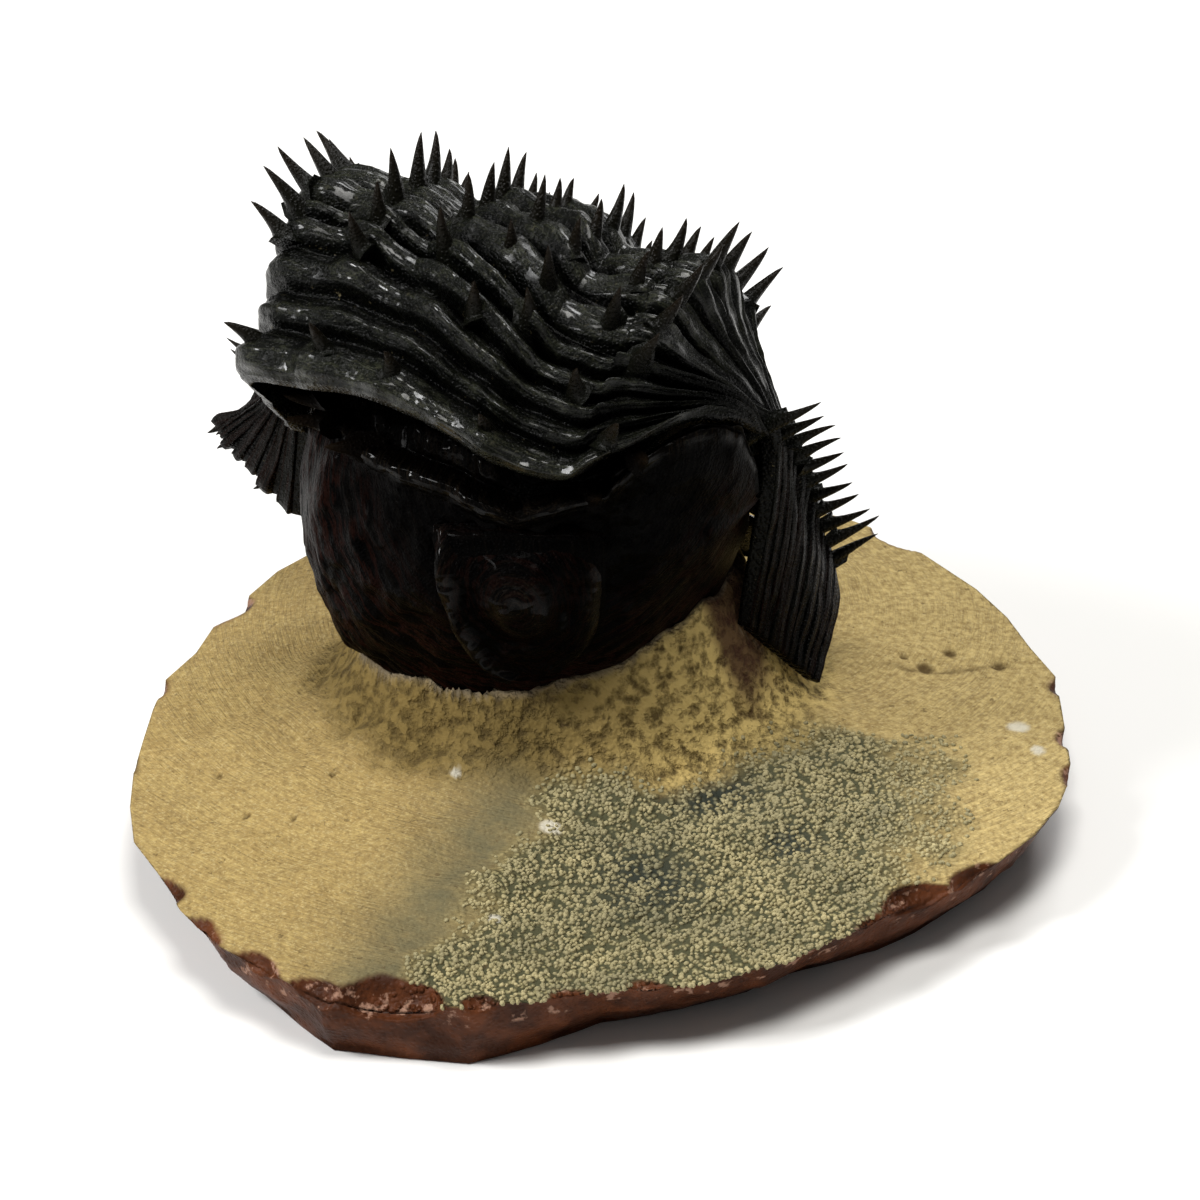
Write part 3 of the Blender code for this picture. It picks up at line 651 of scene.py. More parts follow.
# %% Small helpers for materials
class Finish:
    """A material being made: its tree, its shader and short calls for the nodes used most."""

    def __init__(self, name):
        """Starts the material with a plain shader."""
        self.material = bpy.data.materials.new(name)
        self.material.use_nodes = True
        self.tree = self.material.node_tree
        self.shader = self.tree.nodes["Principled BSDF"]
        self.place = new_node(self.tree, "ShaderNodeTexCoord").outputs["Object"]

    def stored(self, name):
        """The attribute node of a mask or vector that the mesh carries."""
        return new_node(self.tree, "ShaderNodeAttribute", attribute_name=name)

    def mask(self, name):
        return self.stored(name).outputs["Fac"]

    def run(self):
        """The direction along and across the surface that streaks follow."""
        return self.stored("run").outputs["Vector"]

    def group(self, group, output, **values):
        """One output of a shader group. Its inputs are links or numbers."""
        made = new_node(self.tree, "ShaderNodeGroup")
        made.node_tree = group
        for key, value in values.items():
            give(self.tree, value, made.inputs[key])
        return made.outputs[output]

    def patchy(self, size, cover, softness):
        """The mask of soft-edged patches; size in metres."""
        return self.group(patches, "Mask", Vector=self.place, Size=size, Cover=cover, Softness=softness)

    def mix(self, mask, first, second):
        """Colour first where the mask is 0 and second where it is 1. Each is a link or a colour."""
        made = new_node(self.tree, "ShaderNodeMix", data_type="RGBA")
        sockets = [socket for socket in made.inputs if socket.type == "RGBA"]
        self.tree.links.new(mask, made.inputs[0])
        for socket, value in zip(sockets, (first, second)):
            give(self.tree, (*value, 1.0) if isinstance(value, tuple) else value, socket)
        return next(socket for socket in made.outputs if socket.type == "RGBA")

    def over(self, colour, paint, mask, share=1.0):
        """Lays paint over a colour where the mask is 1, and hides at most this share of the colour."""
        return self.mix(self.times(mask, share), colour, paint)

    def times(self, first, second):
        return math_node(self.tree, "MULTIPLY", first, second)

    def plus(self, first, second):
        return math_node(self.tree, "ADD", first, second)

    def feed(self, name, value):
        self.tree.links.new(value, self.shader.inputs[name])

    def relief(self, height, distance, strength=1.0):
        """Turns a height into bumps of about the given depth in metres."""
        made = new_node(self.tree, "ShaderNodeBump")
        made.inputs["Distance"].default_value = distance
        made.inputs["Strength"].default_value = strength
        self.tree.links.new(height, made.inputs["Height"])
        self.feed("Normal", made.outputs["Normal"])


# %% Fossil shell
# Red-brown of the sides: partly the shell's own brown, partly a painted reddish reflection from below.
BROWN_AND_RED_REFLECTION = (0.014, 0.0042, 0.0026)
ROCK_DUST = (0.17, 0.14, 0.075)
PALE_SPECK = (0.060, 0.056, 0.035)
BROWN_TIP = (0.010, 0.0062, 0.0032)
SHELL_RELIEF = 0.00045
COAT_ROUGHNESS = 0.11


def shell_finish(name, deep, ridge, line, dust_share, roughness, shine, speckle, specular):
    """Nearly black calcite. deep, ridge and line are the colours of hollows, ridges and fine lines. The
    red-brown streaks on the sides are partly the shell's own brown and partly a painted reflection.
    """
    finish = Finish(name)
    run = finish.run()
    worn = finish.patchy(0.004, 0.5, 0.25)
    ridges = finish.times(finish.mask("ridge"), finish.plus(finish.times(worn, 0.7), 0.3))
    # Pale fine lines along the ribs, strongest on the ridges: partly fine striations, partly painted
    # highlight.
    lines = finish.group(streaks, "Mask", Run=run, Spacing=0.9, Length=7.0, Thinness=0.035)
    lines = finish.times(lines, finish.plus(finish.times(ridges, 0.8), 0.08))
    colour = finish.mix(ridges, deep, ridge)
    colour = finish.mix(lines, colour, line)
    # Red-brown streaks where the sides mask is set: partly the shell's brown, partly painted reflection.
    red = finish.group(streaks, "Mask", Run=run, Spacing=1.6, Length=9.0, Thinness=0.06)
    colour = finish.over(colour, BROWN_AND_RED_REFLECTION, finish.times(red, finish.mask("sides")), 0.8)
    dust = finish.times(finish.patchy(0.0011, dust_share, 0.06), finish.mask("dust"))
    colour = finish.mix(dust, colour, ROCK_DUST)
    specks = finish.times(finish.patchy(0.0006, 0.36, 0.05), finish.times(ridges, speckle))
    colour = finish.mix(specks, colour, PALE_SPECK)
    tip = math_node(finish.tree, "POWER", finish.mask("tip"), 2.5)
    colour = finish.over(colour, BROWN_TIP, tip, 0.85)
    finish.feed("Base Color", colour)
    grain = finish.group(grit, "Height", Vector=finish.place, Size=0.00045)
    lumps = finish.group(streaks, "Height", Run=run, Spacing=0.7, Length=4.0)
    duller = finish.plus(finish.times(grain, 0.16), roughness)
    finish.feed("Roughness", finish.plus(duller, finish.times(dust, 0.4)))
    finish.relief(finish.plus(finish.times(lumps, 0.9), finish.times(grain, 0.35)), SHELL_RELIEF)
    wet = finish.times(finish.patchy(0.0045, 0.5, 0.25), finish.plus(finish.mask("ridge"), 0.05))
    finish.feed("Coat Weight", finish.times(wet, shine))
    finish.shader.inputs["Coat Roughness"].default_value = COAT_ROUGHNESS
    finish.shader.inputs["Specular IOR Level"].default_value = specular
    return finish.material


rib_shell = shell_finish(
    "black_rib_shell",
    deep=(0.0006, 0.0007, 0.0005),
    ridge=(0.0060, 0.0066, 0.0044),
    line=(0.028, 0.030, 0.018),
    dust_share=0.30,
    roughness=0.20,
    shine=0.50,
    speckle=0.6,
    specular=0.09,
)
# The bowl's colours are far darker than the ribs': painted shade of the overhang and of faces that turn
# down. Their brown is partly the shell's own and partly a painted reddish reflection.
painted_shade_bowl_shell = shell_finish(
    "brown_painted_shade_bowl_shell",
    deep=(0.0002, 0.0001, 0.0001),
    ridge=(0.0013, 0.0009, 0.0006),
    line=(0.011, 0.0075, 0.0045),
    dust_share=0.24,
    roughness=0.32,
    shine=0.26,
    speckle=0.2,
    specular=0.012,
)
print("fossil finishes:", rib_shell.name, painted_shade_bowl_shell.name)

# %% [markdown]
# ## Plates of the thorax
# Each of the eleven segments is one plate: a ring of shell in the middle and a rib on each side with
# a furrow along it. A cross-section of the plate is a closed loop, so the plate is made as a tube of
# such loops from the left rib end to the right one. A grid made this way can be fine where it
# shows and coarse in the joints. The thorns are then grown on it and joined to the same piece,
# because on the animal they are one growth.

# %% A closed plate from loops
def plate_mesh(name, loops, values):
    """loops: (columns, points in a loop, 3), in world millimetres. values: name to (columns, points)."""
    columns, around = loops.shape[:2]
    index = np.arange(columns * around).reshape(columns, around)
    after = np.roll(index, -1, axis=1)
    quads = np.stack([index[:-1], after[:-1], after[1:], index[1:]], axis=-1).reshape(-1, 4)
    faces = quads.tolist() + [index[0].tolist(), index[-1].tolist()]
    data = bpy.data.meshes.new(name)
    data.from_pydata((loops.reshape(-1, 3) * MM).tolist(), [], faces)
    store(data, values)
    return data


def loop_values(outer, run, hidden, hidden_dust=0.0):
    """Values for whole loops: those of the outer surface, then plain ones for the hidden points."""
    values = {key: np.pad(numbers, ((0, 0), (0, hidden))) for key, numbers in outer.items()}
    values["dust"][:, -hidden:] = hidden_dust
    values["tip"] = np.zeros_like(values["ridge"])
    values["run"] = np.pad(run, ((0, 0), (0, hidden), (0, 0)), mode="edge")
    return values


def joined_piece(name, meshes, materials):
    """Joins meshes into one smooth-shaded object whose faces point outwards."""
    whole = bmesh.new()
    for mesh in meshes:
        whole.from_mesh(mesh)
        bpy.data.meshes.remove(mesh)
    bmesh.ops.recalc_face_normals(whole, faces=whole.faces)
    bmesh.ops.triangulate(whole, faces=[face for face in whole.faces if len(face.verts) > 4])
    data = bpy.data.meshes.new(name)
    whole.to_mesh(data)
    whole.free()
    data.shade_smooth()
    data.materials.clear()
    for material in materials:
        data.materials.append(material)
    made = bpy.data.objects.new(name, data)
    bpy.context.scene.collection.objects.link(made)
    return made


def stands_for(piece, node):
    """Lets a finished piece take the place of its plain solid."""
    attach(piece, "root")
    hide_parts(node)
    return piece


# %% Relief that all ribbed plates share
AXIS_LIFT = 1.9
AXIS_HALF = 0.25
FURROW_DROP = 0.9
RIB_LIFT = 2.25
RIB_LENGTH = 46.0
RIB_BREADTH = 6.5
SKIN_DROP = 0.5
POCKED_AT = np.array([5.6, 5.0, 70.9])
POCKED_WIDTH = 5.0


def lobe_relief(place):
    """The raised middle lobe and the furrow on each side of it."""
    lobe = AXIS_LIFT * np.maximum(0.0, 1.0 - (place / AXIS_HALF) ** 2) ** 0.6
    return lobe - FURROW_DROP * bump(np.abs(place) - AXIS_HALF, 0.07)


def rib_run(places, stations, lane):
    """Along and across the ribs, in millimetres. The lane keeps one plate's pattern off the next's."""
    return np.stack([places * RIB_LENGTH, stations * RIB_BREADTH, np.full(stations.shape, lane)], -1)


def rib_knobs(run, seed):
    """Makes a rib swell and shrink along its length."""
    return 1.0 + 0.45 * noise(run * np.array([1.0, 0.2, 1.0]), 5.0, seed)


def ridge_mask(raised, run, seed):
    """1 on the worn tops of the ribs, with a ragged edge."""
    return soft_step(raised + 0.3 * noise(run, 2.0, seed), 0.15, 1.05)


def shell_grain(points, run, seed):
    """Dents, wrinkles along the rib, and grain, in millimetres of height."""
    stretched = run * np.array([1.0 / 5.0, 1.0 / 0.8, 1.0])
    wrinkles = noise(stretched, 1.0, seed) + 0.5 * noise(stretched * 2.1, 1.0, seed + 5)
    dents = 0.55 * rough(points, 5.5, seed, 2) + 0.25 * rough(points, 2.4, seed + 3, 2)
    pocks = bump(np.linalg.norm(points - POCKED_AT, axis=-1), POCKED_WIDTH) * noise(points, 1.1, 77)
    return dents + 0.2 * wrinkles + 0.06 * rough(points, 0.9, seed + 9, 2) - 0.5 * np.maximum(0.0, pocks)


print("ribs stand", RIB_LIFT, "mm and the middle lobe", AXIS_LIFT, "mm above the plain shell")


# %% The hidden walls of a plate
WALL_DEPTHS = (0.02, 0.05, 0.1, 0.2, 0.4, 0.7, 1.0)
WALL_POINTS = 2 * len(WALL_DEPTHS)


def hidden_walls(outer, places, far, near):
    """Closes a ribbed surface: in along the far stations and out again along the near ones."""
    depths = np.array(WALL_DEPTHS)[None, :]
    wall_places = np.repeat(places[:, None], len(WALL_DEPTHS), axis=1)
    inwards = to_world(skin(far, wall_places, depths))
    outwards = to_world(skin(near, wall_places, depths))[:, ::-1]
    return np.concatenate([outer, inwards, outwards], axis=1)


print("each loop has", WALL_POINTS, "hidden points")


# %% Thorns of the plates
THORN_PLACES = (-0.84, -0.64, -0.42, -0.18, 0.0, 0.18, 0.42, 0.64, 0.84)
THORN_LENGTH = 7.6
THORN_GIRTH = 1.6
THORN_ROOT = 0.5
# How far a thorn strays: sideways in its aim, in its length, and in millimetres at its tip.
AIM_STRAY = 0.12
THORN_STRETCH = 1.06
LENGTH_STRAY = (0.85, 1.12)
TIP_STRAY = 0.4
TIP_LIFT = 0.5
# Thorns beyond this place stand on the rib ends. They are thin and lean outwards.
END_PLACE = 0.8
END_THORN_GIRTH = 1.1
RIGHT_END_LEAN = np.array([0.8, 0.0, 0.5])
LEFT_END_LEAN = np.array([-0.95, 0.1, 0.1])
# Thorns to the left of this place lean left.
LEFT_SIDE_PLACE = -0.5
LEFT_SIDE_LEAN = np.array([-0.7, 0.0, 0.0])
# The shell's swelling round a thorn's foot: its width in girths of the thorn, and its limit.
MOUND_WIDTH = 2.4
MOUND_LIMIT = 1.2


def thorn_at(chance, station, place, length, lift):
    """Foot, aim, reach and girth of one thorn. The numbers are drawn in the same order for each."""
    lean = np.array([*(chance.uniform(-AIM_STRAY, AIM_STRAY) for _ in range(2)), lift])
    facing = outward(np.array(station), np.array(place))
    girth = THORN_GIRTH
    if abs(place) > END_PLACE:
        facing = facing * 0.3 + (RIGHT_END_LEAN if place > 0.0 else LEFT_END_LEAN)
        girth = END_THORN_GIRTH
    elif place < LEFT_SIDE_PLACE:
        facing = facing + LEFT_SIDE_LEAN
    direction = BODY_AXES @ facing + lean
    direction /= np.linalg.norm(direction)
    bend = np.array([*(chance.uniform(-TIP_STRAY, TIP_STRAY) for _ in range(2)), TIP_LIFT])
    whole = direction * length * THORN_STRETCH * chance.uniform(*LENGTH_STRAY) + bend
    reach = np.linalg.norm(whole)
    foot = to_world(skin(station, place)) - whole / reach * THORN_ROOT
    return foot, whole / reach, reach + THORN_ROOT, girth


def thorn_mounds(points, thorns):
    """Shell swells a little round the foot of each thorn."""
    total = np.zeros(points.shape[:-1])
    for foot, aim, _, girth in thorns:
        near = np.linalg.norm(points - (foot + aim * THORN_ROOT), axis=-1)
        total += bump(near, girth * MOUND_WIDTH)
    return np.minimum(total, MOUND_LIMIT)


def thorny_piece(name, loops, values, thorns, material, seed):
    """A closed plate and its thorns, as one piece."""
    plate = plate_mesh(name, loops, values)
    spikes = thorn_mesh(name + "_thorns", thorns, material, seed)
    return joined_piece(name + "_shell", [plate, spikes], [material])


print("thorns across a segment:", len(THORN_PLACES))


# %% Sizes of the eleven segments
COLUMNS = 420
RIB_ROWS = 26
THORN_ROW = 0.45
THORN_UPLIFT = 0.12
LOBE_THORNS = (2, 4, 7, 10)
LOBE_THORN_PLACE = -0.995
LOBE_THORN_AIM = np.array([-0.88, -0.1, -0.46])
LOBE_THORN_REACH = 2.9
LOBE_THORN_GIRTH = 0.75
LANE_STEP = 7.3
WALL_DUST = 0.8
# Gaps between neighbours, in shares of a segment, outside and inside: over the back, then at the ends.
GAP = 0.023
GAP_INSIDE = 0.092
END_GAP = 0.1
END_GAP_INSIDE = 0.15
RIB_STOPS = (GAP, 0.2, 0.42, 0.68, 1.0 - GAP)
RIB_END_STOPS = (END_GAP, 0.18, 0.29, 0.78, 1.0 - END_GAP)
# Height across a segment from its front to its rear, on the middle lobe and on the ribs beside it.
AXIS_PROFILE = ((0.0, 0.06, 0.2, 0.42, 0.68, 0.86, 1.0), (-0.9, -0.4, 0.5, 1.0, 1.0, 0.5, -0.9))
SIDE_PROFILE = (
    (0.0, 0.07, 0.18, 0.34, 0.45, 0.6, 0.8, 0.93, 1.0),
    (-1.0, -0.3, 0.7, 1.05, 0.8, 1.0, 0.7, -0.2, -1.0),
)


def rib_stations(number, rows, places):
    """Stations of a segment's rows. Towards the rib ends the rows draw together."""
    share = np.clip((np.abs(places) - 0.55) / 0.12, 0.0, 1.0)[:, None]
    ends = np.interp(rows, RIB_STOPS, RIB_END_STOPS)[None, :]
    return number - 1 + rows[None, :] + (ends - rows[None, :]) * share, share


def segment_thorns(number):
    """Nine thorns across a segment and, on some segments, a small one on the left rib end."""
    chance = random.Random(number)
    station = number - THORN_ROW
    thorns = [thorn_at(chance, station, place, THORN_LENGTH, THORN_UPLIFT) for place in THORN_PLACES]
    if number in LOBE_THORNS:
        foot = to_world(skin(np.array(number - 0.5), np.array(LOBE_THORN_PLACE))) - LOBE_THORN_AIM
        thorns.append((foot, LOBE_THORN_AIM, LOBE_THORN_REACH, LOBE_THORN_GIRTH))
    return thorns


# %% The eleven segments
def segment_rows():
    """Rows across a rib, from 0 at its front to 1 at its rear, closer together at both edges."""
    even = np.linspace(0.0, 1.0, RIB_ROWS)
    clustered = 0.55 * even + 0.45 * (0.5 - 0.5 * np.cos(math.pi * even))
    return GAP + (1.0 - 2.0 * GAP) * clustered


def thorax_segment(number):
    """One plate with its thorns, from the left rib end to the right one."""
    thorns = segment_thorns(number)
    places = np.linspace(-1.0, 1.0, COLUMNS)
    rows = segment_rows()
    stations, share = rib_stations(number, rows, places)
    grid_places = np.repeat(places[:, None], RIB_ROWS, axis=1)
    run = rib_run(grid_places, stations, number * LANE_STEP)
    wobble = 0.09 * noise(run, 6.0, 40 + number)
    part = np.clip(rows[None, :] + wobble * np.sin(math.pi * rows)[None, :], 0.0, 1.0)
    side = np.clip((np.abs(grid_places) - AXIS_HALF) / 0.1, 0.0, 1.0)
    profile = eased(part, *AXIS_PROFILE) * (1.0 - side) + eased(part, *SIDE_PROFILE) * side
    fade = np.clip((0.9 - np.abs(grid_places)) / 0.25, 0.2, 1.0)
    height = lobe_relief(grid_places) + RIB_LIFT * profile * fade * rib_knobs(run, 150 + number)
    height -= SKIN_DROP * soft_step(fade, 0.3, 1.0)
    base = skin(stations, grid_places)
    world = to_world(base)
    height += shell_grain(world, run, 100 + number) * (0.4 + 0.6 * fade) + thorn_mounds(world, thorns)
    outer = to_world(base + outward(stations, grid_places) * height[..., None])
    trim = GAP + (END_GAP - GAP) * share
    trim_inside = GAP_INSIDE + (END_GAP_INSIDE - GAP_INSIDE) * share
    wall = trim + (trim_inside - trim) * np.array(WALL_DEPTHS)[None, :]
    loops = hidden_walls(outer, places, number - wall, number - 1 + wall)
    masks = {
        "ridge": ridge_mask(profile * fade, run, 7),
        "dust": np.clip(0.35 - profile, 0.0, 1.0),
        # sides: the rib ends, which face down; their red-brown is partly painted reflection.
        "sides": 0.7 * soft_step(np.abs(grid_places), 0.82, 0.9),
    }
    values = loop_values(masks, run, WALL_POINTS, WALL_DUST)
    return thorny_piece(f"thorax_segment_{number:02d}", loops, values, thorns, rib_shell, number)


segments = [
    stands_for(thorax_segment(number), f"thorax_segment_{number:02d}")
    for number in range(1, SEGMENTS + 1)
]
print("segments:", len(segments), "pieces,", sum(len(piece.data.polygons) for piece in segments), "faces")

# %% [markdown]
# ## The tail shield
# Behind the last segment the ribs are fused into one fan, the tail shield. Its ribs get lower
# towards a rolled rim that overhangs the head shield like an eyelid. It is made as the segments
# are, with more rows, and its thorns stand up more steeply.

# %% Tail shield
TAIL_COLUMNS = 380
TAIL_ROWS = 110
TAIL_START = 0.03
TAIL_LIMIT = 0.9
TAIL_PLACE = 0.857
# How far the tail's hidden walls slant inwards, at its rim and at its start.
TAIL_SLANTS = (0.05, 0.12)
TAIL_LANE = 90.0
TAIL_WALL_DUST = 0.6
TAIL_THORN_SHARE = 0.9
TAIL_THORN_UPLIFT = 0.4
TAIL_SEED = 40
# Height from the last segment to the rim: four ribs that get lower, and the rolled rim.
TAIL_PROFILE = (
    (TAIL_START, 0.14, 0.32, 0.48, 0.62, 0.76, 0.95, 1.12, 1.25, 1.38, 1.55, 1.7, 1.85, 1.98, 2.12,
     2.26, 2.38, 2.52, 2.68, 2.84, 2.94, TAIL_RIBS),
    (-0.9, 0.4, 1.0, 0.6, -0.9, 0.3, 1.0, 0.6, -0.85, 0.3, 0.9, 0.5, -0.8, 0.2, 0.7,
     0.3, -0.7, 0.5, 1.25, 1.35, 0.9, 0.1),
)
# Rows of thorns: how far behind the last segment, and where across the tail.
TAIL_THORNS = (
    (0.42, (-0.64, -0.42, -0.18, 0.18, 0.64)),
    (1.22, (-0.64, -0.42, 0.0, 0.42)),
    (2.62, (-0.64, -0.42, -0.18, 0.18, 0.64)),
)


def tail_shield():
    """The fused fan of ribs behind the last segment, with its thorns."""
    chance = random.Random(TAIL_SEED)
    thorns = [
        thorn_at(chance, SEGMENTS + part, place, THORN_LENGTH * TAIL_THORN_SHARE, TAIL_THORN_UPLIFT)
        for part, chosen in TAIL_THORNS
        for place in chosen
    ]
    places = np.linspace(-TAIL_PLACE, TAIL_PLACE, TAIL_COLUMNS)
    parts = np.linspace(TAIL_START, TAIL_RIBS, TAIL_ROWS)
    grid_places, grid_parts = np.meshgrid(places, parts, indexing="ij")
    corner = np.clip((np.abs(grid_places) - 0.74) / 0.07, 0.0, 1.0)
    grid_parts = np.maximum(grid_parts, TAIL_START + (END_GAP - TAIL_START) * corner)
    stations = SEGMENTS + grid_parts
    run = rib_run(grid_places, stations, TAIL_LANE)
    wobble = 0.12 * noise(run, 7.0, 61) * np.sin(math.pi * grid_parts / TAIL_RIBS)
    profile = eased(grid_parts + wobble, *TAIL_PROFILE)
    fade = 1.0 - np.abs(grid_places / TAIL_LIMIT) ** 4
    lobe = lobe_relief(grid_places) * np.clip(1.0 - grid_parts / 2.4, 0.0, 1.0)
    knobs = rib_knobs(run, 163)
    knobs += 0.5 * soft_step(grid_parts, 2.2, 2.7) * noise(run * np.array([1.0, 0.3, 1.0]), 6.5, 167)
    height = lobe + RIB_LIFT * profile * fade * knobs - SKIN_DROP * soft_step(fade, 0.3, 1.0)
    base = skin(stations, grid_places)
    world = to_world(base)
    height += shell_grain(world, run, 70) + thorn_mounds(world, thorns)
    outer = to_world(base + outward(stations, grid_places) * height[..., None])
    rim_slant, start_slant = (slant * np.array(WALL_DEPTHS)[None, :] for slant in TAIL_SLANTS)
    rim = SEGMENTS + TAIL_RIBS - rim_slant
    loops = hidden_walls(outer, places, rim, SEGMENTS + TAIL_START + start_slant)
    masks = {"ridge": ridge_mask(profile * fade, run, 8), "dust": np.clip(0.3 - profile, 0.0, 1.0)}
    values = loop_values(masks, run, WALL_POINTS, TAIL_WALL_DUST)
    return thorny_piece("pygidium", loops, values, thorns, rib_shell, TAIL_SEED)


tail = stands_for(tail_shield(), "pygidium")
print("tail shield:", len(tail.data.polygons), "faces")

# %% [markdown]
# ## The head shield and the mouth plate
# The head shield is a deep bowl with a rolled lip under the tail shield's rim. Its surface is
# smooth apart from terrace lines: thin raised lines that run round the bowl, side by side. In the
# middle lies the mouth plate with a swollen boss. Both are laid on an egg shape that leans to one
# side. A ray from inside the egg finds its surface, and the relief is added along that ray.

# %% The egg shape of the bowl
HEAD_CENTRE = np.array([-8.7, 10.3, 43.2])
HEAD_AXES = np.array([27.6, 28.2, 32.4])
HEAD_FRAME = trilobite_axes(math.radians(32.0))
SEAM = 3.0
HEAD_END_ANGLE = -126.0
HEAD_TURN = 88.0
# The lip's angle above the front by its reach to the right, its room under the seam, and its roll.
LIP_REACH = (-11.0, 1.0, 11.0, 21.0, 25.0, 30.0, 34.0)
LIP_ANGLES = (9.5, 10.5, 7.5, 19.0, 34.0, 52.0, 61.0)
LIP_ROOM = 5.0
LIP_TOP = 4.0
LIP_BOTTOM = 2.5
CHEEK_START = 18.0
CHEEK_FULL = 25.0
CHEEK_STRETCH = 2.5
CHEEK_END_REACH = 34.4
CHEEK_END_RADIUS = 6.0
CHEEK_SWELL_ANGLE = 3.0
CHEEK_STRETCH_ANGLE = -50.0
INNER_HEAD_RADIUS = 3.0
INNER_SHIFT = 0.5
INNER_SHIFT_ANGLE = -56.0
# Relief of the rolled lip by degrees above its line, and of the furrow below it by share of the bowl.
LIP_ROLL = ((-LIP_BOTTOM, -1.3, 0.0, 1.2, 2.1, 2.8, LIP_TOP), (0.1, 0.85, 1.05, 0.95, 0.5, -1.0, -2.6))
FLANGE_RELIEF = -2.8
FURROW = ((0.0, 0.02, 0.045, 0.08, 0.16, 1.0), (0.1, -0.65, -0.85, -0.42, 0.0, 0.0))
# Thorns on the lip: column of 22 from left to right, and length.
HEAD_THORNS = ((2, 5.5), (4, 7.0), (6, 5.5), (15.0, 2.6), (16.6, 2.6))
HEAD_THORN_COLUMNS = 22
HEAD_THORN_TURN = 81.0
HEAD_THORN_LEAN = -0.9
THORN_ABOVE_LIP = 1.0
HEAD_SEED = 60
PLATE_TILT = math.radians(31.0)
FACING = np.array([0.0, -math.cos(PLATE_TILT), math.sin(PLATE_TILT)])
UP_THE_PLATE = np.array([0.0, math.sin(PLATE_TILT), math.cos(PLATE_TILT)])
TO_RIGHT = np.array([1.0, 0.0, 0.0])
# A bump and a pit at the bowl's left end.
BUMP_AT = np.array([-35.3, -1.0, 46.0])
PIT_AT = np.array([-34.6, -4.5, 44.0])


def head_distance(origin, direction):
    """How far the bowl's surface is from points inside it, along unit directions."""
    scaled_origin = ((origin - HEAD_CENTRE) @ HEAD_FRAME) / HEAD_AXES
    scaled_direction = (direction @ HEAD_FRAME) / HEAD_AXES
    square = np.sum(scaled_direction**2, axis=-1)
    half = np.sum(scaled_origin * scaled_direction, axis=-1)
    rest = np.sum(scaled_origin**2, axis=-1) - 1.0
    return (-half + np.sqrt(np.maximum(half * half - square * rest, 0.0))) / square


def body_direction(degrees):
    """Unit vector in the plane across the roll line: 0 degrees is the front, 90 is up."""
    angle = np.radians(degrees)
    return np.stack([np.zeros_like(angle), np.cos(angle), np.sin(angle)], axis=-1) @ BODY_AXES.T


HEAD_RIGHT = float(head_distance(ROLL_CENTRE, BODY_AXES[:, 0]))
HEAD_LEFT = float(head_distance(ROLL_CENTRE, -BODY_AXES[:, 0]))
RIM_PLACES = np.array([0.48, 0.6, 0.7, 0.744, 0.78, 0.8, 0.823, TAIL_PLACE])
rim_points = skin(float(SEGMENTS + TAIL_RIBS), RIM_PLACES)
rim_angles = np.degrees(np.arctan2(rim_points[:, 2], rim_points[:, 1]))
RIM_REACH = np.append(rim_points[:, 0], CHEEK_END_REACH)
RIM_ANGLE = np.append(rim_angles, rim_angles[-1])
RIM_RADIUS = np.append(np.hypot(rim_points[:, 1], rim_points[:, 2]), CHEEK_END_RADIUS)


class BowlSlices:
    """Planes across the roll line, one for each turn from -90 to 90 degrees, and the bowl in them.

    On the right the bowl swells up to the tail shield's rim, like a cheek.
    """

    def __init__(self, turns):
        """Finds where the seam and the lip lie in each plane, in degrees about the roll line."""
        middle = (HEAD_RIGHT - HEAD_LEFT) / 2.0
        self.reach = (HEAD_RIGHT + HEAD_LEFT) / 2.0 * np.sin(np.radians(turns)) + middle
        self.cheek = soft_step(self.reach, CHEEK_START, HEAD_RIGHT)
        self.stretched = self.reach + CHEEK_STRETCH * self.cheek
        self.start = ROLL_CENTRE + self.reach[:, None] * BODY_AXES[:, 0]
        self.fade = np.maximum(np.cos(np.radians(turns)), 0.0) ** 0.5 * (1.0 - 0.7 * self.cheek)
        place = np.interp(self.reach / HALF_WIDTH, ARCH_OUT, KNOT_PLACES[2:-2])
        seam = np.degrees(angle_at(float(SEGMENTS + TAIL_RIBS), place))
        on_rim = np.interp(self.stretched, RIM_REACH, RIM_ANGLE)
        self.seam = np.where(self.stretched > RIM_REACH[0], on_rim, seam) - SEAM
        self.lip = np.minimum(np.interp(self.stretched, LIP_REACH, LIP_ANGLES), self.seam - LIP_ROOM)
        rim_radius = np.interp(self.stretched, RIM_REACH, RIM_RADIUS)
        self.swell = rim_radius - head_distance(self.start, body_direction(self.seam))
        self.swell *= soft_step(self.stretched, CHEEK_START, CHEEK_FULL)

    def base(self, degrees):
        """Foot points on the roll line, directions and distances, for (turns, angles) in degrees."""
        direction = body_direction(degrees)
        start = np.repeat(self.start[:, None, :], degrees.shape[1], axis=1)
        distance = head_distance(start, direction)
        distance = distance + self.swell[:, None] * soft_step(degrees, CHEEK_SWELL_ANGLE, self.seam[:, None])
        along = (self.stretched - self.reach)[:, None] * soft_step(degrees, CHEEK_STRETCH_ANGLE, 0.0)
        return start + along[..., None] * BODY_AXES[:, 0], direction, distance


print("bowl reaches", round(HEAD_LEFT, 1), "mm to the left and", round(HEAD_RIGHT, 1), "mm to the right")


# %% Head shield
def ring_coordinates(points):
    """Along and across the terrace lines. They circle the mouth plate; the middle number is across."""
    off = points - HEAD_CENTRE
    direction = off / np.linalg.norm(off, axis=-1, keepdims=True)
    polar = np.arccos(np.clip(direction @ FACING, -1.0, 1.0))
    rise = np.cross(TO_RIGHT, FACING)
    run = np.stack([direction[..., 0] * 24.0, polar * 29.0, direction @ rise * 3.4], axis=-1)
    return run, np.degrees(polar)


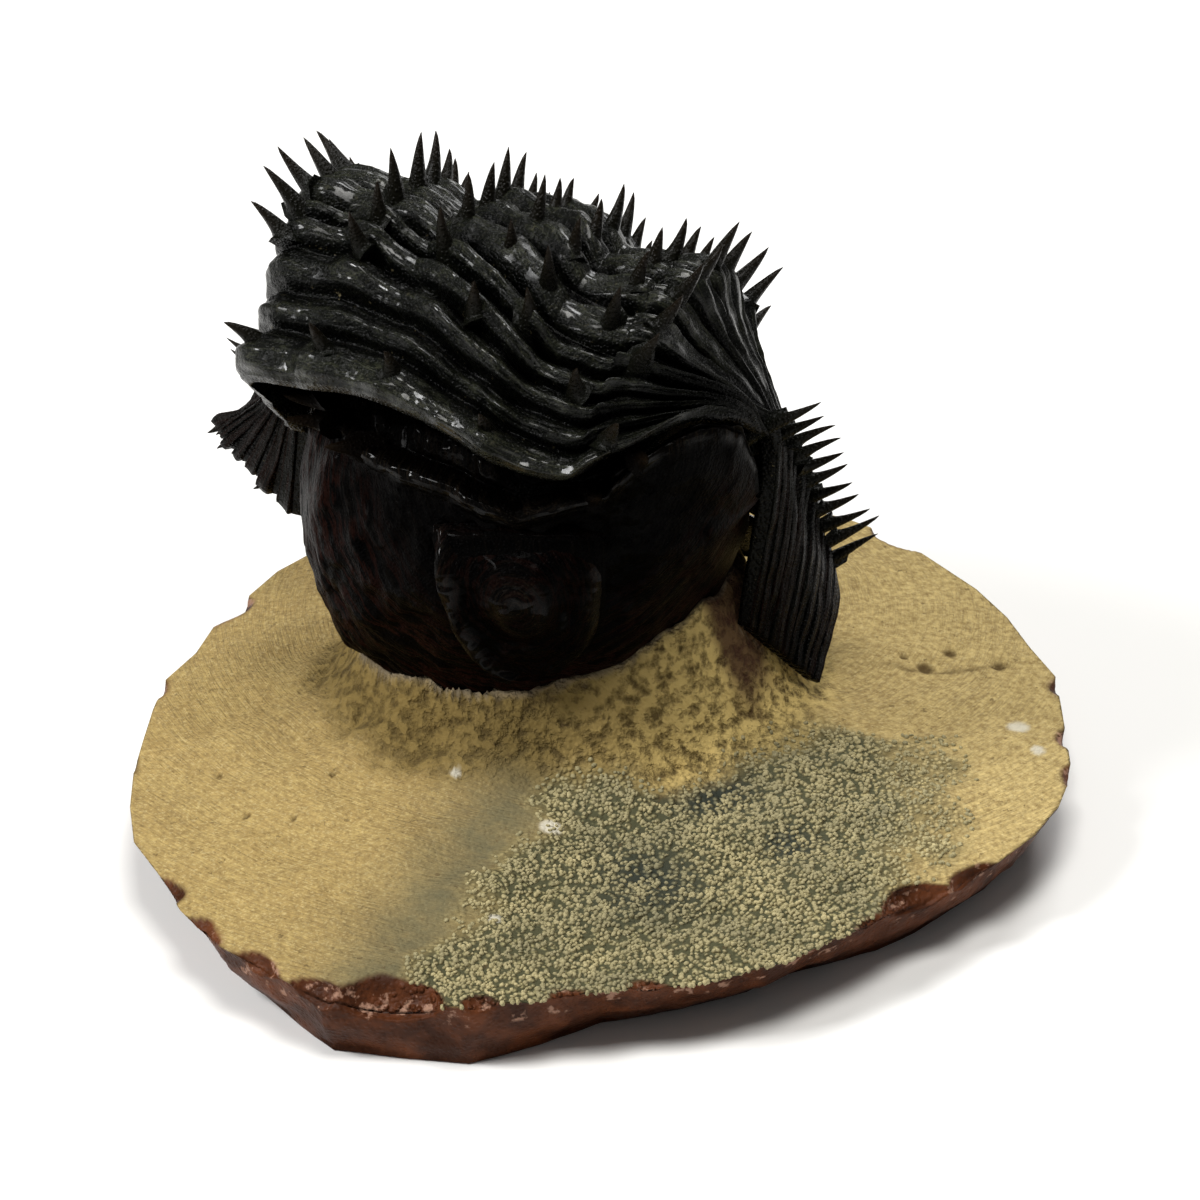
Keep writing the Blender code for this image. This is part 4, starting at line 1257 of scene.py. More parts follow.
def head_thorns():
    """Thorns along the lip: long ones that lean left on the left half, and two nubs on the right."""
    chance = random.Random(HEAD_SEED)
    thorns = []
    for column, length in HEAD_THORNS:
        turn = -HEAD_THORN_TURN + 2.0 * HEAD_THORN_TURN * (column + 0.5) / HEAD_THORN_COLUMNS
        piece = BowlSlices(np.array([turn]))
        at = piece.lip + THORN_ABOVE_LIP
        foot = piece.start[0] + body_direction(at[0]) * piece.base(at[:, None])[2][0, 0]
        radial = (foot - HEAD_CENTRE) / np.linalg.norm(foot - HEAD_CENTRE)
        lean = HEAD_THORN_LEAN if column < HEAD_THORN_COLUMNS / 2 else 0.0
        aim = radial + np.array([lean, 0.0, -0.1]) + np.array([0.0, chance.uniform(-0.05, 0.05), 0.0])
        aim /= np.linalg.norm(aim)
        thorns.append((foot, aim, length, THORN_GIRTH))
    return thorns


def inner_points(slices):
    """Two points of each slice near the roll line, which close its loop inside the bowl."""
    angles = np.stack([np.full_like(slices.seam, HEAD_END_ANGLE), slices.seam], axis=1)
    origin, direction, distance = slices.base(angles)
    distance = np.minimum(INNER_HEAD_RADIUS, 0.3 * distance)
    shift = body_direction(np.array(INNER_SHIFT_ANGLE)) * INNER_SHIFT
    return origin + direction * distance[..., None] + shift


def head_shield():
    """The bowl: a flange hidden by the tail shield, the rolled lip, and the open surface below it."""
    slices = BowlSlices(np.linspace(-HEAD_TURN, HEAD_TURN, 300))
    seam, lip = slices.seam[:, None], slices.lip[:, None]
    hidden = np.linspace(1.0, 0.0, 27)[:-1]
    rolled = np.linspace(LIP_TOP, -LIP_BOTTOM, 22)
    shares = np.linspace(0.0, 1.0, 150)[1:] ** 1.15
    flange = lip + LIP_TOP + (seam - lip - LIP_TOP) * hidden
    open_part = lip - LIP_BOTTOM + (HEAD_END_ANGLE - lip + LIP_BOTTOM) * shares
    angles = np.concatenate([flange, lip + rolled, open_part], axis=1)
    flange_relief = np.full(len(hidden), FLANGE_RELIEF)
    flat = np.concatenate([flange_relief, eased(rolled, *LIP_ROLL), eased(shares, *FURROW)])
    origin, direction, distance = slices.base(angles)
    base = origin + direction * distance[..., None]
    run, polar = ring_coordinates(base)
    below = np.concatenate([np.zeros(len(hidden) + len(rolled)), np.clip(shares / 0.12, 0.0, 1.0)])
    above = np.concatenate([np.sin(math.pi * hidden) ** 0.5, np.zeros(len(rolled) + len(shares))])
    # sides: the bowl's outer walls, which face down; their red-brown is partly painted reflection.
    sides = np.clip((polar - 38.0) / 30.0, 0.0, 1.0) * below
    ridges = noise(run * np.array([1.0 / 9.0, 1.0 / 1.1, 1.0]), 1.0, 31)
    folds = noise(run * np.array([1.0 / 9.0, 1.0 / 2.6, 1.0]), 1.0, 43)
    height = flat[None, :] * slices.fade[:, None] + 0.34 * ridges * (0.25 + sides)
    grain = 0.62 * rough(base, 3.6, 35)
    height += 1.3 * noise(base, 8.0, 33) * below + grain + 0.09 * noise(base, 0.9, 39)
    height += above * (0.7 + 0.9 * folds + 0.4 * ridges)
    height += 1.6 * bump(np.linalg.norm(base - BUMP_AT, axis=-1), 3.0)
    height -= 1.5 * bump(np.linalg.norm(base - PIT_AT, axis=-1), 1.6)
    outer = base + direction * height[..., None]
    inner = inner_points(slices)
    # lit: painted highlight, a lighter colour along the rolled lip, on the terrace ridges and on the flange;
    # it is stored as the ridge mask.
    lit = bump(angles - lip, 2.5) + 0.25 * ridges * (0.3 + sides) + above * (0.3 + 0.6 * folds)
    masks = {
        "ridge": np.clip(lit, 0.0, 1.0),
        "dust": 0.25 * np.clip(polar / 90.0 - 0.5, 0.0, 1.0),
        "sides": sides,
    }
    values = loop_values(masks, run, inner.shape[1])
    loops = np.concatenate([outer, inner], axis=1)
    return thorny_piece("cephalon", loops, values, head_thorns(), painted_shade_bowl_shell, HEAD_SEED)


head = stands_for(head_shield(), "cephalon")
print("head shield:", len(head.data.polygons), "faces")

# %% Mouth plate
PLATE_TOP = math.radians(-14.5)
PLATE_BOTTOM = math.radians(-60.0)
PLATE_HALF_WIDTH = 10.6
PLATE_THICKNESS = 1.3
PLATE_SLANT = 3.0
BOSS_HEIGHT = 2.2
BOSS_SIDE = -0.1
BOSS_DROP = 0.42
CLEARANCE = 0.3
EDGE_DROP = 0.6


def plate_points(side, drop, height):
    """Points over the bowl, side -1 to 1 and drop 0 at the plate's top to 1 at its rounded end."""
    elevation = PLATE_TOP + (PLATE_BOTTOM - PLATE_TOP) * drop
    half = PLATE_HALF_WIDTH * np.sqrt(1.0 - 0.9 * drop**4) * (1.0 - 0.12 * drop)
    bearing = (side * half + PLATE_SLANT * (drop - 0.6)) / HEAD_AXES[0]
    direction = FACING * (np.cos(bearing) * np.cos(elevation))[..., None]
    direction = direction + TO_RIGHT * np.sin(bearing)[..., None]
    direction = direction + UP_THE_PLATE * np.sin(elevation)[..., None]
    direction /= np.linalg.norm(direction, axis=-1, keepdims=True)
    return HEAD_CENTRE + direction * (head_distance(HEAD_CENTRE, direction) + height)[..., None]


def mouth_plate():
    """The shield-shaped plate over the mouth, with a swollen boss and curled wrinkles round it."""
    sides = np.sin(np.linspace(-math.pi / 2.0, math.pi / 2.0, 90))
    drops = np.linspace(0.0, 1.0, 110)
    side, drop = np.meshgrid(sides, drops, indexing="ij")
    side_off = (side - BOSS_SIDE) ** 2
    drop_off = (drop - BOSS_DROP) ** 2
    boss = np.exp(-side_off / 0.16 - drop_off / 0.05)
    ring = np.sqrt(side_off / 0.55 + drop_off / 0.16)
    edge = bump(np.abs(side) - 0.88, 0.1)
    base = plate_points(side, drop, np.zeros_like(side))
    run = np.stack([side * PLATE_HALF_WIDTH, ring * 9.0, drop * 3.4], axis=-1)
    curls = noise(run * np.array([1.0 / 5.0, 1.0 / 1.2, 1.0]), 1.0, 51)
    height = PLATE_THICKNESS + CLEARANCE + BOSS_HEIGHT * boss + 0.6 * edge
    height = height - 0.5 * bump(ring - 0.78, 0.16) + 0.3 * curls * np.clip(ring - 0.3, 0.0, 1.0)
    height = height + 0.45 * rough(base, 2.5, 53) + 0.08 * noise(base, 0.7, 57)
    height = height + 0.7 * bump(side + 0.9, 0.12)
    height = height * (1.0 - 0.85 * soft_step(side, 0.55, 1.0)) - 2.4 * (1.0 - soft_step(drop, 0.0, 0.3))
    rim = np.clip(1.0 - (1.0 - np.abs(side)) / 0.02, 0.0, 1.0) * EDGE_DROP
    rim = np.maximum(rim, np.clip((drop - 0.985) / 0.015, 0.0, 1.0) * EDGE_DROP)
    outer = plate_points(side, drop, height - rim)
    under = plate_points(side, drop, np.full_like(side, CLEARANCE + 0.1))
    walls = [plate_points(side[:, -1], drop[:, -1], height[:, -1] * share) for share in (0.6, 0.35)]
    loops = np.concatenate([outer, np.stack(walls, 1), under[:, ::-10]], axis=1)
    # lit: painted highlight round the boss, on the edges and on the curls; it is stored as the ridge mask.
    lit = 0.7 * bump(ring - 0.15, 0.25) + edge * 0.8 + 0.4 * np.maximum(curls, 0.0)
    masks = {
        "ridge": np.clip(lit, 0.0, 1.0),
        "dust": 0.3 * np.clip(-curls, 0.0, 1.0),
        # sides: a little red-brown over the whole plate, partly painted reflection.
        "sides": np.full_like(lit, 0.3),
    }
    values = loop_values(masks, run, loops.shape[1] - outer.shape[1])
    return joined_piece("hypostome_shell", [plate_mesh("hypostome", loops, values)], [painted_shade_bowl_shell])


plate = stands_for(mouth_plate(), "hypostome")
print("mouth plate:", len(plate.data.polygons), "faces")

# %% [markdown]
# ## The limestone
# The rock is a low disc with a short pedestal. Its top was ground down, which left fine marks that
# circle the pedestal, and in front a patch was only blasted, so that small grains stand out of
# soft grey rock. Its rim is broken: rounded scoops of dark red-brown rock. The top is a grid of
# rings and sectors, pressed down wherever the fossil is lower, so that the fossil sits in the rock.
# Scoops are balls that push the grid away, which leaves the hollows with sharp edges that a flaking
# blow leaves.

# %% Sizes of the rock
RIM_RADII = (59.0, 59.6, 60.0, 62.0, 64.0, 62.0, 60.0, 59.0, 59.0, 58.5, 56.0, 56.5, 58.0, 61.0, 63.5, 66.8,
             68.5, 64.5, 58.0, 57.7, 55.0, 54.0, 57.5, 59.3)
UNDERCUTS = (4.0, 3.0, 3.0, 4.0, 4.0, 4.0, 4.0, 4.0, 4.0, 4.0, 4.0, 5.0, 7.0, 9.0, 10.0, 7.0,
             3.0, 2.0, 7.5, 9.5, 9.0, 6.0, 7.0, 6.0)
RIM_TOP = 9.5
FOOT_HEIGHT = 15.5
PEDESTAL_CENTRE = np.array([-4.0, 8.0])
PEDESTAL_AXES = np.array([31.0, 25.0])
PEDESTAL_TOP = 37.0
CORNERS = 48
CORNER_STRAY = 0.7
CORNER_SEED = 7
SECTORS = 480
RINGS = 150
WALL_RINGS = 24
GRIND_CENTRE = np.array([8.0, 30.0])
# Scoops out of the rim: bearing in degrees, how far outside the edge and above it, and radius.
SCOOPS = (
    (247.5, 3.2, 4.2, 9.0), (239.0, 3.0, 3.4, 6.5), (231.0, 4.0, 3.6, 7.0),
    (222.0, 3.5, 4.0, 6.5), (213.0, 3.2, 4.5, 6.3), (258.0, 3.2, 3.6, 5.6),
    (267.0, 3.4, 3.8, 5.8), (276.0, 3.2, 4.6, 6.2), (316.0, 4.2, 3.8, 8.0),
    (325.0, 3.4, 3.6, 6.6), (308.0, 3.2, 3.8, 5.8), (352.0, 2.8, 4.0, 5.6),
    (1.0, 3.4, 4.2, 6.0), (13.0, 3.4, 4.6, 6.2), (185.0, 3.4, 4.6, 6.0),
    (168.0, 3.4, 4.2, 5.8), (52.0, 4.0, 4.4, 7.4), (71.0, 3.6, 4.2, 6.4),
    (98.0, 4.2, 4.6, 8.0), (124.0, 3.6, 4.0, 6.6), (146.0, 4.0, 4.4, 7.2),
)
# Pits in the ground top: place, radius and depth.
PITS = (
    (41.2, 15.6, 1.7, 0.9), (50.6, 17.4, 1.3, 0.9), (44.4, 19.6, 1.3, 0.7), (38.5, 17.0, 0.8, 0.5),
    (-47.5, -10.5, 0.7, 0.5), (-38.0, -22.0, 0.5, 0.4), (-33.5, -13.0, 0.5, 0.4), (-44.0, -20.0, 0.6, 0.4),
)
# Chalky spots and dark spots: place and radius.
CHALK = ((-6.1, -26.3, 1.3), (52.5, 2.3, 1.4), (55.0, -3.0, 0.8), (-13.0, -44.5, 0.9), (-18.0, -16.0, 0.5))
DARK_SPOTS = ((15.0, -18.0, 5.5), (5.0, -36.5, 7.0), (8.0, -12.0, 4.5), (22.0, -27.0, 4.0))


def around(values, corner):
    """A value between two of a list that goes round the rock."""
    at = corner / CORNERS * len(values)
    first = np.floor(at).astype(int)
    values = np.asarray(values)
    low = values[first % len(values)]
    return low + (values[(first + 1) % len(values)] - low) * (at - first)


def rim_line():
    """The rock's upper edge, from above: broken straight stretches between corners."""
    chance = random.Random(CORNER_SEED)
    turns = 2.0 * math.pi * np.arange(CORNERS) / CORNERS
    stray = np.array([chance.uniform(-CORNER_STRAY, CORNER_STRAY) for _ in turns])
    radii = around(RIM_RADII, np.arange(CORNERS)) + stray
    corners = radii[:, None] * np.stack([np.cos(turns), np.sin(turns)], axis=1)
    at = np.arange(SECTORS) / SECTORS * CORNERS
    first = np.floor(at).astype(int)
    part = (at - first)[:, None]
    return corners[first] + (corners[(first + 1) % CORNERS] - corners[first]) * part, at


def flat_noise(x, y, size, seed):
    """Noise that doesn't change with height."""
    return noise(np.stack([x, y, np.zeros_like(x)], axis=-1), size, seed)


def off_pedestal(x, y):
    """0 at the pedestal's middle and 1 at its edge."""
    return np.hypot((x - PEDESTAL_CENTRE[0]) / PEDESTAL_AXES[0], (y - PEDESTAL_CENTRE[1]) / PEDESTAL_AXES[1])


print("rock edge:", min(RIM_RADII), "to", max(RIM_RADII), "mm from the middle")


# %% Where each kind of surface lies
def spots(x, y, places, ragged, full, gone):
    """Spots that are full up to one share of their radius and gone at another."""
    return sum(
        1.0 - soft_step(np.hypot(x - at_x, y - at_y) + ragged, size * full, size * gone)
        for at_x, at_y, size, *_ in places
    )


def rock_masks(x, y):
    """Shares of blasted rock, ochre pedestal, pink patch, dark spots, chalk, pits, and painted light on the
    right of the rock and of the pedestal.
    """
    ragged = 4.0 * flat_noise(x, y, 9.0, 201) + 1.8 * flat_noise(x, y, 2.6, 202)
    left = np.interp(y, (-60.0, -30.0, -3.0), (-23.0, -9.0, 2.0))
    right = np.interp(y, (-57.0, -20.0, -1.0), (34.0, 44.0, 40.0))
    blasted = soft_step(x - left + ragged, -3.0, 3.0) * soft_step(right - x + ragged, -4.0, 6.0)
    blasted = blasted * soft_step(-y + 0.5 * ragged, 0.0, 5.0)
    ochre = 1.0 - soft_step(off_pedestal(x, y) + 0.02 * ragged, 0.92, 1.18)
    pink = 1.0 - soft_step(np.hypot((x - 16.5) / 1.0, (y - 1.0) / 1.3) + 0.6 * ragged, 3.5, 6.5)
    dark = sum(bump(np.hypot(x - at_x, y - at_y) + 0.6 * ragged, size) for at_x, at_y, size in DARK_SPOTS)
    chalk = spots(x, y, CHALK, 0.12 * ragged, 0.6, 1.1)
    pits = spots(x, y, PITS, 0.05 * ragged, 0.5, 1.0)
    cracks = bump(y - 16.0 - 0.25 * (x - 41.0) + 0.5 * ragged, 0.4) * bump(x - 44.0, 9.0)
    smooth_grey = bump((x - left + 5.0) / 9.0, 1.0) * soft_step(-y, 4.0, 16.0) * (1.0 - blasted)
    return {
        "blasted": blasted * (1.0 - 0.9 * ochre),
        "ochre": ochre,
        "pink": np.clip(pink, 0.0, 1.0),
        "dark": np.clip(dark, 0.0, 1.0),
        "chalk": np.clip(chalk, 0.0, 1.0),
        "grey": smooth_grey,
        "pits": np.clip(pits + 0.85 * cracks, 0.0, 1.0),
        # Painted light: the rock's right side and the pedestal's right side are made paler.
        "painted_light_right": soft_step(x + 0.4 * y, -10.0, 55.0),
        "painted_light_ochre": soft_step(x + 0.4 * y, -14.0, 16.0),
    }


# %% Heights of the rock, its seat and its scoops
NO_FOSSIL = 1000.0


def rock_height(x, y, part):
    """Height of the plain top: a low cone from the rim inwards, and the pedestal. part is 1 at the rim."""
    cone = FOOT_HEIGHT + (RIM_TOP - FOOT_HEIGHT) * part**1.3
    rise = (PEDESTAL_TOP - FOOT_HEIGHT) / (1.0 + np.exp((off_pedestal(x, y) - 0.8) * 14.0))
    wave = 0.35 * np.sin(0.31 * x + 0.5) * np.sin(0.27 * y) + 0.25 * np.sin(0.53 * y - 0.2 * x)
    return cone + rise + wave * (1.0 - part**6)


def seat_heights(points, pieces):
    """Height of the fossil's underside over points of the rock; very high where there is none."""
    whole = bmesh.new()
    for piece in pieces:
        whole.from_mesh(piece.data)
    tree = BVHTree.FromBMesh(whole)
    whole.free()
    heights = np.full(len(points), NO_FOSSIL)
    up = Vector((0.0, 0.0, 1.0))
    for index, (x, y) in enumerate(points):
        hit = tree.ray_cast(Vector((x * MM, y * MM, -MM)), up)
        if hit[0] is not None:
            heights[index] = hit[0].z / MM
    return heights


def scooped(points, rim):
    """Pushes points out of the scoops' balls. Returns the points and how freshly broken each is."""
    broken = np.zeros(points.shape[:-1])
    bearings = np.degrees(np.arctan2(rim[:, 1], rim[:, 0])) % 360.0
    for bearing, outside, above, radius in SCOOPS:
        nearest = rim[np.argmin(np.abs((bearings - bearing + 180.0) % 360.0 - 180.0))]
        length = np.linalg.norm(nearest)
        centre = np.array([*(nearest * (1.0 + outside / length)), RIM_TOP + above])
        off = points - centre
        distance = np.linalg.norm(off, axis=-1)
        ragged = radius * (1.0 + 0.07 * noise(points, 3.0, 231))
        inside = distance < ragged
        points = np.where(inside[..., None], centre + off / distance[..., None] * ragged[..., None], points)
        broken = np.maximum(broken, np.clip((ragged - distance) / 0.6 + 0.6, 0.0, 1.0))
    return points, broken


# %% Limestone finish
ROCK_RELIEF = 0.0006


def ground_tan(finish, mottle, run):
    """Tan rock with fine grinding marks, smooth and grey beside the blasted patch."""
    broad = finish.patchy(0.014, 0.5, 0.4)
    tan = finish.mix(broad, (0.46, 0.327, 0.124), (0.35, 0.242, 0.088))
    tan = finish.over(tan, (0.53, 0.405, 0.160), mottle, 0.5)
    # Painted light: a paler tan towards the right.
    tan = finish.over(tan, (0.60, 0.46, 0.196), finish.mask("painted_light_right"), 0.85)
    tan = finish.over(tan, (0.235, 0.158, 0.058), finish.patchy(0.0009, 0.5, 0.35), 0.8)
    tan = finish.over(tan, (0.66, 0.54, 0.27), finish.patchy(0.0004, 0.42, 0.1), 0.35)
    marks = finish.group(streaks, "Mask", Run=run, Spacing=0.5, Length=6.0, Thinness=0.06)
    marks = finish.times(marks, finish.plus(finish.times(broad, 0.4), 0.12))
    tan = finish.mix(marks, tan, (0.145, 0.10, 0.05))
    smooth_grey = finish.times(finish.mask("grey"), finish.plus(finish.times(mottle, 0.3), 0.6))
    return finish.mix(smooth_grey, tan, (0.092, 0.090, 0.055))


def blasted_grey(finish, mottle, granules):
    """Soft grey rock with paler granules, and painted light that makes them palest on the right."""
    ground = finish.mix(finish.mask("dark"), (0.068, 0.066, 0.034), (0.030, 0.034, 0.026))
    # Painted light: the granule tops paler towards the right.
    tops = finish.mix(finish.mask("painted_light_right"), (0.30, 0.265, 0.13), (0.50, 0.42, 0.205))
    tops = finish.over(tops, (0.12, 0.12, 0.08), finish.mask("dark"), 0.8)
    tops = finish.over(tops, (0.27, 0.24, 0.135), mottle, 0.3)
    return finish.mix(finish.times(granules, 2.3), ground, tops)


def stained(finish, colour, lumps):
    """Lays over a colour the ochre pedestal, pink patch, chalk, contact line, specks and pits."""
    # The ochre in a shaded and a lit copy: painted shade on the pedestal's left, painted light on its right.
    ochre = finish.mix(finish.mask("painted_light_ochre"), (0.20, 0.139, 0.044), (0.66, 0.49, 0.18))
    stains = (
        (finish.mix(lumps, (0.075, 0.050, 0.016), ochre), finish.mask("ochre"), 0.92),
        ((0.060, 0.024, 0.016), finish.mask("pink"), 0.9),
        ((0.62, 0.58, 0.47), finish.mask("chalk"), 0.85),
        ((0.34, 0.28, 0.20), finish.mask("contact"), 0.7),
        ((0.085, 0.055, 0.024), finish.patchy(0.0014, 0.33, 0.03), 0.55),
        ((0.060, 0.034, 0.010), finish.mask("pits"), 0.9),
    )
    for paint, mask, share in stains:
        colour = finish.over(colour, paint, mask, share)
    return colour


def fresh_break(finish):
    """Dark red-brown rock, with pale flecks along the upper edge."""
    rust = finish.patchy(0.006, 0.45, 0.25)
    fresh = finish.mix(rust, (0.036, 0.0100, 0.0028), (0.115, 0.034, 0.0110))
    flecks = finish.times(finish.patchy(0.0021, 0.40, 0.06), finish.mask("edge"))
    return finish.mix(flecks, fresh, (0.27, 0.15, 0.10))


def limestone_finish(name):
    """Ground tan rock, blasted grey rock with granules, ochre pedestal and red-brown broken rock."""
    finish = Finish(name)
    run = finish.run()
    mottle = finish.patchy(0.0042, 0.5, 0.45)
    lumps = finish.patchy(0.0015, 0.56, 0.2)
    granules = finish.group(grit, "Grains", Vector=finish.place, Size=0.00085)
    tan = ground_tan(finish, mottle, run)
    colour = finish.mix(finish.mask("blasted"), tan, blasted_grey(finish, mottle, granules))
    broken = finish.mask("broken")
    colour = finish.mix(broken, stained(finish, colour, lumps), fresh_break(finish))
    finish.feed("Base Color", colour)
    whole = math_node(finish.tree, "SUBTRACT", 1.0, broken)
    grain = finish.group(grit, "Height", Vector=finish.place, Size=0.0007)
    strokes = finish.group(streaks, "Height", Run=run, Spacing=0.42, Length=7.0)
    duller = finish.plus(finish.times(grain, 0.12), 0.42)
    finish.feed("Roughness", finish.plus(finish.times(whole, 0.42), duller))
    height = finish.plus(finish.times(finish.times(strokes, whole), 0.5), finish.times(grain, 0.22))
    height = finish.plus(height, finish.times(finish.times(granules, finish.mask("blasted")), 1.1))
    height = finish.plus(height, finish.times(finish.times(lumps, finish.mask("ochre")), 0.7))
    finish.relief(height, ROCK_RELIEF)
    finish.shader.inputs["Specular IOR Level"].default_value = 0.12
    return finish.material


limestone = limestone_finish("tan_limestone")
print("rock finish:", limestone.name)


# %% The rock's top and its broken side
FINE_PART = 0.62
FINE_RINGS = 89
SEATED_PART = 0.75
SEAT_OVERLAP = 0.05


def top_rings(rim):
    """The top's points, ring by ring from the middle out, its masks, and the height of its middle."""
    fine = np.linspace(0.0, FINE_PART, FINE_RINGS + 1)[1:]
    parts = np.concatenate([fine, np.linspace(FINE_PART, 1.0, RINGS - FINE_RINGS + 1)[1:]])
    xy = PEDESTAL_CENTRE + (rim - PEDESTAL_CENTRE)[None] * parts[:, None, None]
    x, y = xy[..., 0], xy[..., 1]
    part = np.repeat(parts[:, None], SECTORS, axis=1)
    masks = rock_masks(x, y)
    z = rock_height(x, y, part)
    lumpy = np.stack([x, y, z], -1)
    hollows = np.maximum(0.0, noise(lumpy, 1.7, 217) - 0.25)
    z += masks["ochre"] * (0.7 * rough(lumpy, 3.4, 211) - 0.9 * hollows)
    z += sum(
        height * masks["blasted"] * flat_noise(x, y, size, seed)
        for height, size, seed in ((0.16, 1.0, 213), (0.3, 4.0, 219))
    )
    z += 0.14 * flat_noise(x, y, 8.0, 215) * (1.0 - part**6)
    for at_x, at_y, size, depth in PITS:
        z -= depth * bump(np.hypot(x - at_x, y - at_y) + 0.25 * flat_noise(x, y, 0.8, 221), size)
    near = part < SEATED_PART
    over = np.full(x.shape, NO_FOSSIL)
    over[near] = seat_heights(np.stack([x[near], y[near]], axis=1), [*segments, tail, head])
    masks["contact"] = bump(np.clip(over - z, 0.0, None), 0.8)
    z = np.minimum(z, over + SEAT_OVERLAP)
    middle = min(float(rock_height(*PEDESTAL_CENTRE, 0.0)), float(over[0].min()))
    return np.stack([x, y, z], axis=-1), masks, middle


def wall_rings(rim, corner):
    """The side, ring by ring from under the rim to the floor: undercut and dented."""
    drop = np.linspace(0.0, 1.0, WALL_RINGS + 1)[1:]
    wall_z = RIM_TOP * (1.0 - drop)
    share = np.interp(wall_z, (0.0, RIM_TOP * 0.45, RIM_TOP), (1.0, 0.4, 0.0))
    length = np.linalg.norm(rim, axis=1)
    pull = around(UNDERCUTS, corner)
    wall_xy = rim[None] * (1.0 - pull[None] * share[:, None] / length[None])[..., None]
    wall = np.concatenate([wall_xy, np.repeat(wall_z[:, None], SECTORS, axis=1)[..., None]], axis=-1)
    dents = 0.55 * rough(wall, 5.0, 223) - 0.35
    dents[-1] *= 0.3
    wall[..., :2] += (rim / length[:, None])[None] * dents[..., None]
    return wall


# %% The rock's mesh
SCOOPED_RINGS = 60
# Rings above and below the rock's upper edge that count as its edge.
EDGE_RINGS = (6, 8)


def ring_faces(count):
    """Faces between the rings, and fans that close the middle of the top and of the underside."""
    index = np.arange(count * SECTORS).reshape(count, SECTORS)
    after = np.roll(index, -1, axis=1)
    quads = np.stack([index[:-1], index[1:], after[1:], after[:-1]], axis=-1).reshape(-1, 4)
    middle = count * SECTORS
    fans = [(middle, int(index[0, at]), int(after[0, at])) for at in range(SECTORS)]
    fans += [(middle + 1, int(after[-1, at]), int(index[-1, at])) for at in range(SECTORS)]
    return quads.tolist() + fans


def grinding_run(rings):
    """Along and across the grinding marks, which circle a point behind the pedestal."""
    reach = rings[..., :2] - GRIND_CENTRE
    return np.stack([reach[..., 0], np.linalg.norm(reach, axis=-1), reach[..., 1] / 6.0], axis=-1)


def rock():
    """The whole rock: top, side and underside as one closed mesh that carries its masks."""
    rim, corner = rim_line()
    top, masks, middle = top_rings(rim)
    rings = np.concatenate([top, wall_rings(rim, corner)], axis=0)
    outer = slice(RINGS - SCOOPED_RINGS, len(rings) - 1)
    rings[outer], fresh = scooped(rings[outer], rim)
    rings[..., 2] = np.maximum(rings[..., 2], 0.0)
    masks["broken"] = np.zeros(rings.shape[:2])
    masks["broken"][outer] = fresh
    masks["broken"][RINGS:] = 1.0
    masks["edge"] = np.zeros(rings.shape[:2])
    masks["edge"][RINGS - EDGE_RINGS[0]:RINGS + EDGE_RINGS[1]] = 1.0
    points = np.concatenate([rings.reshape(-1, 3), [[*PEDESTAL_CENTRE, middle]], [[0.0, 0.0, 0.0]]])
    data = bpy.data.meshes.new("matrix")
    data.from_pydata((points * MM).tolist(), [], ring_faces(len(rings)))
    values = {}
    for key, numbers in masks.items():
        whole = np.zeros(rings.shape[:2])
        whole[: len(numbers)] = numbers
        values[key] = np.append(whole.ravel(), [0.0, 0.0])
    values["run"] = np.append(grinding_run(rings).ravel(), np.zeros(6))
    store(data, values)
    return joined_piece("matrix_rock", [data], [limestone])


matrix = stands_for(rock(), "matrix")
print("rock:", len(matrix.data.polygons), "faces")

# %% [markdown]
# ## Loose-looking grains on the blasted patch
# Where the rock was blasted, harder grains stand out of it. There are thousands and all are small
# lumps with three unequal axes, so a Geometry Nodes tree scatters them over the rock itself. The
# rock's own masks say how dense they lie. They are part of the rock and never move.

# %% The grain tree
def lump_sizes(tree, given):
    """A random size along each of a grain's three axes."""
    ends = []
    for name in ("Smallest", "Largest"):
        made = new_node(tree, "ShaderNodeCombineXYZ")
        for axis in ("X", "Y", "Z"):
            tree.links.new(given.outputs[name], made.inputs[axis])
        ends.append(made.outputs[0])
    return random_value(tree, "FLOAT_VECTOR", *ends, given.outputs["Seed"])


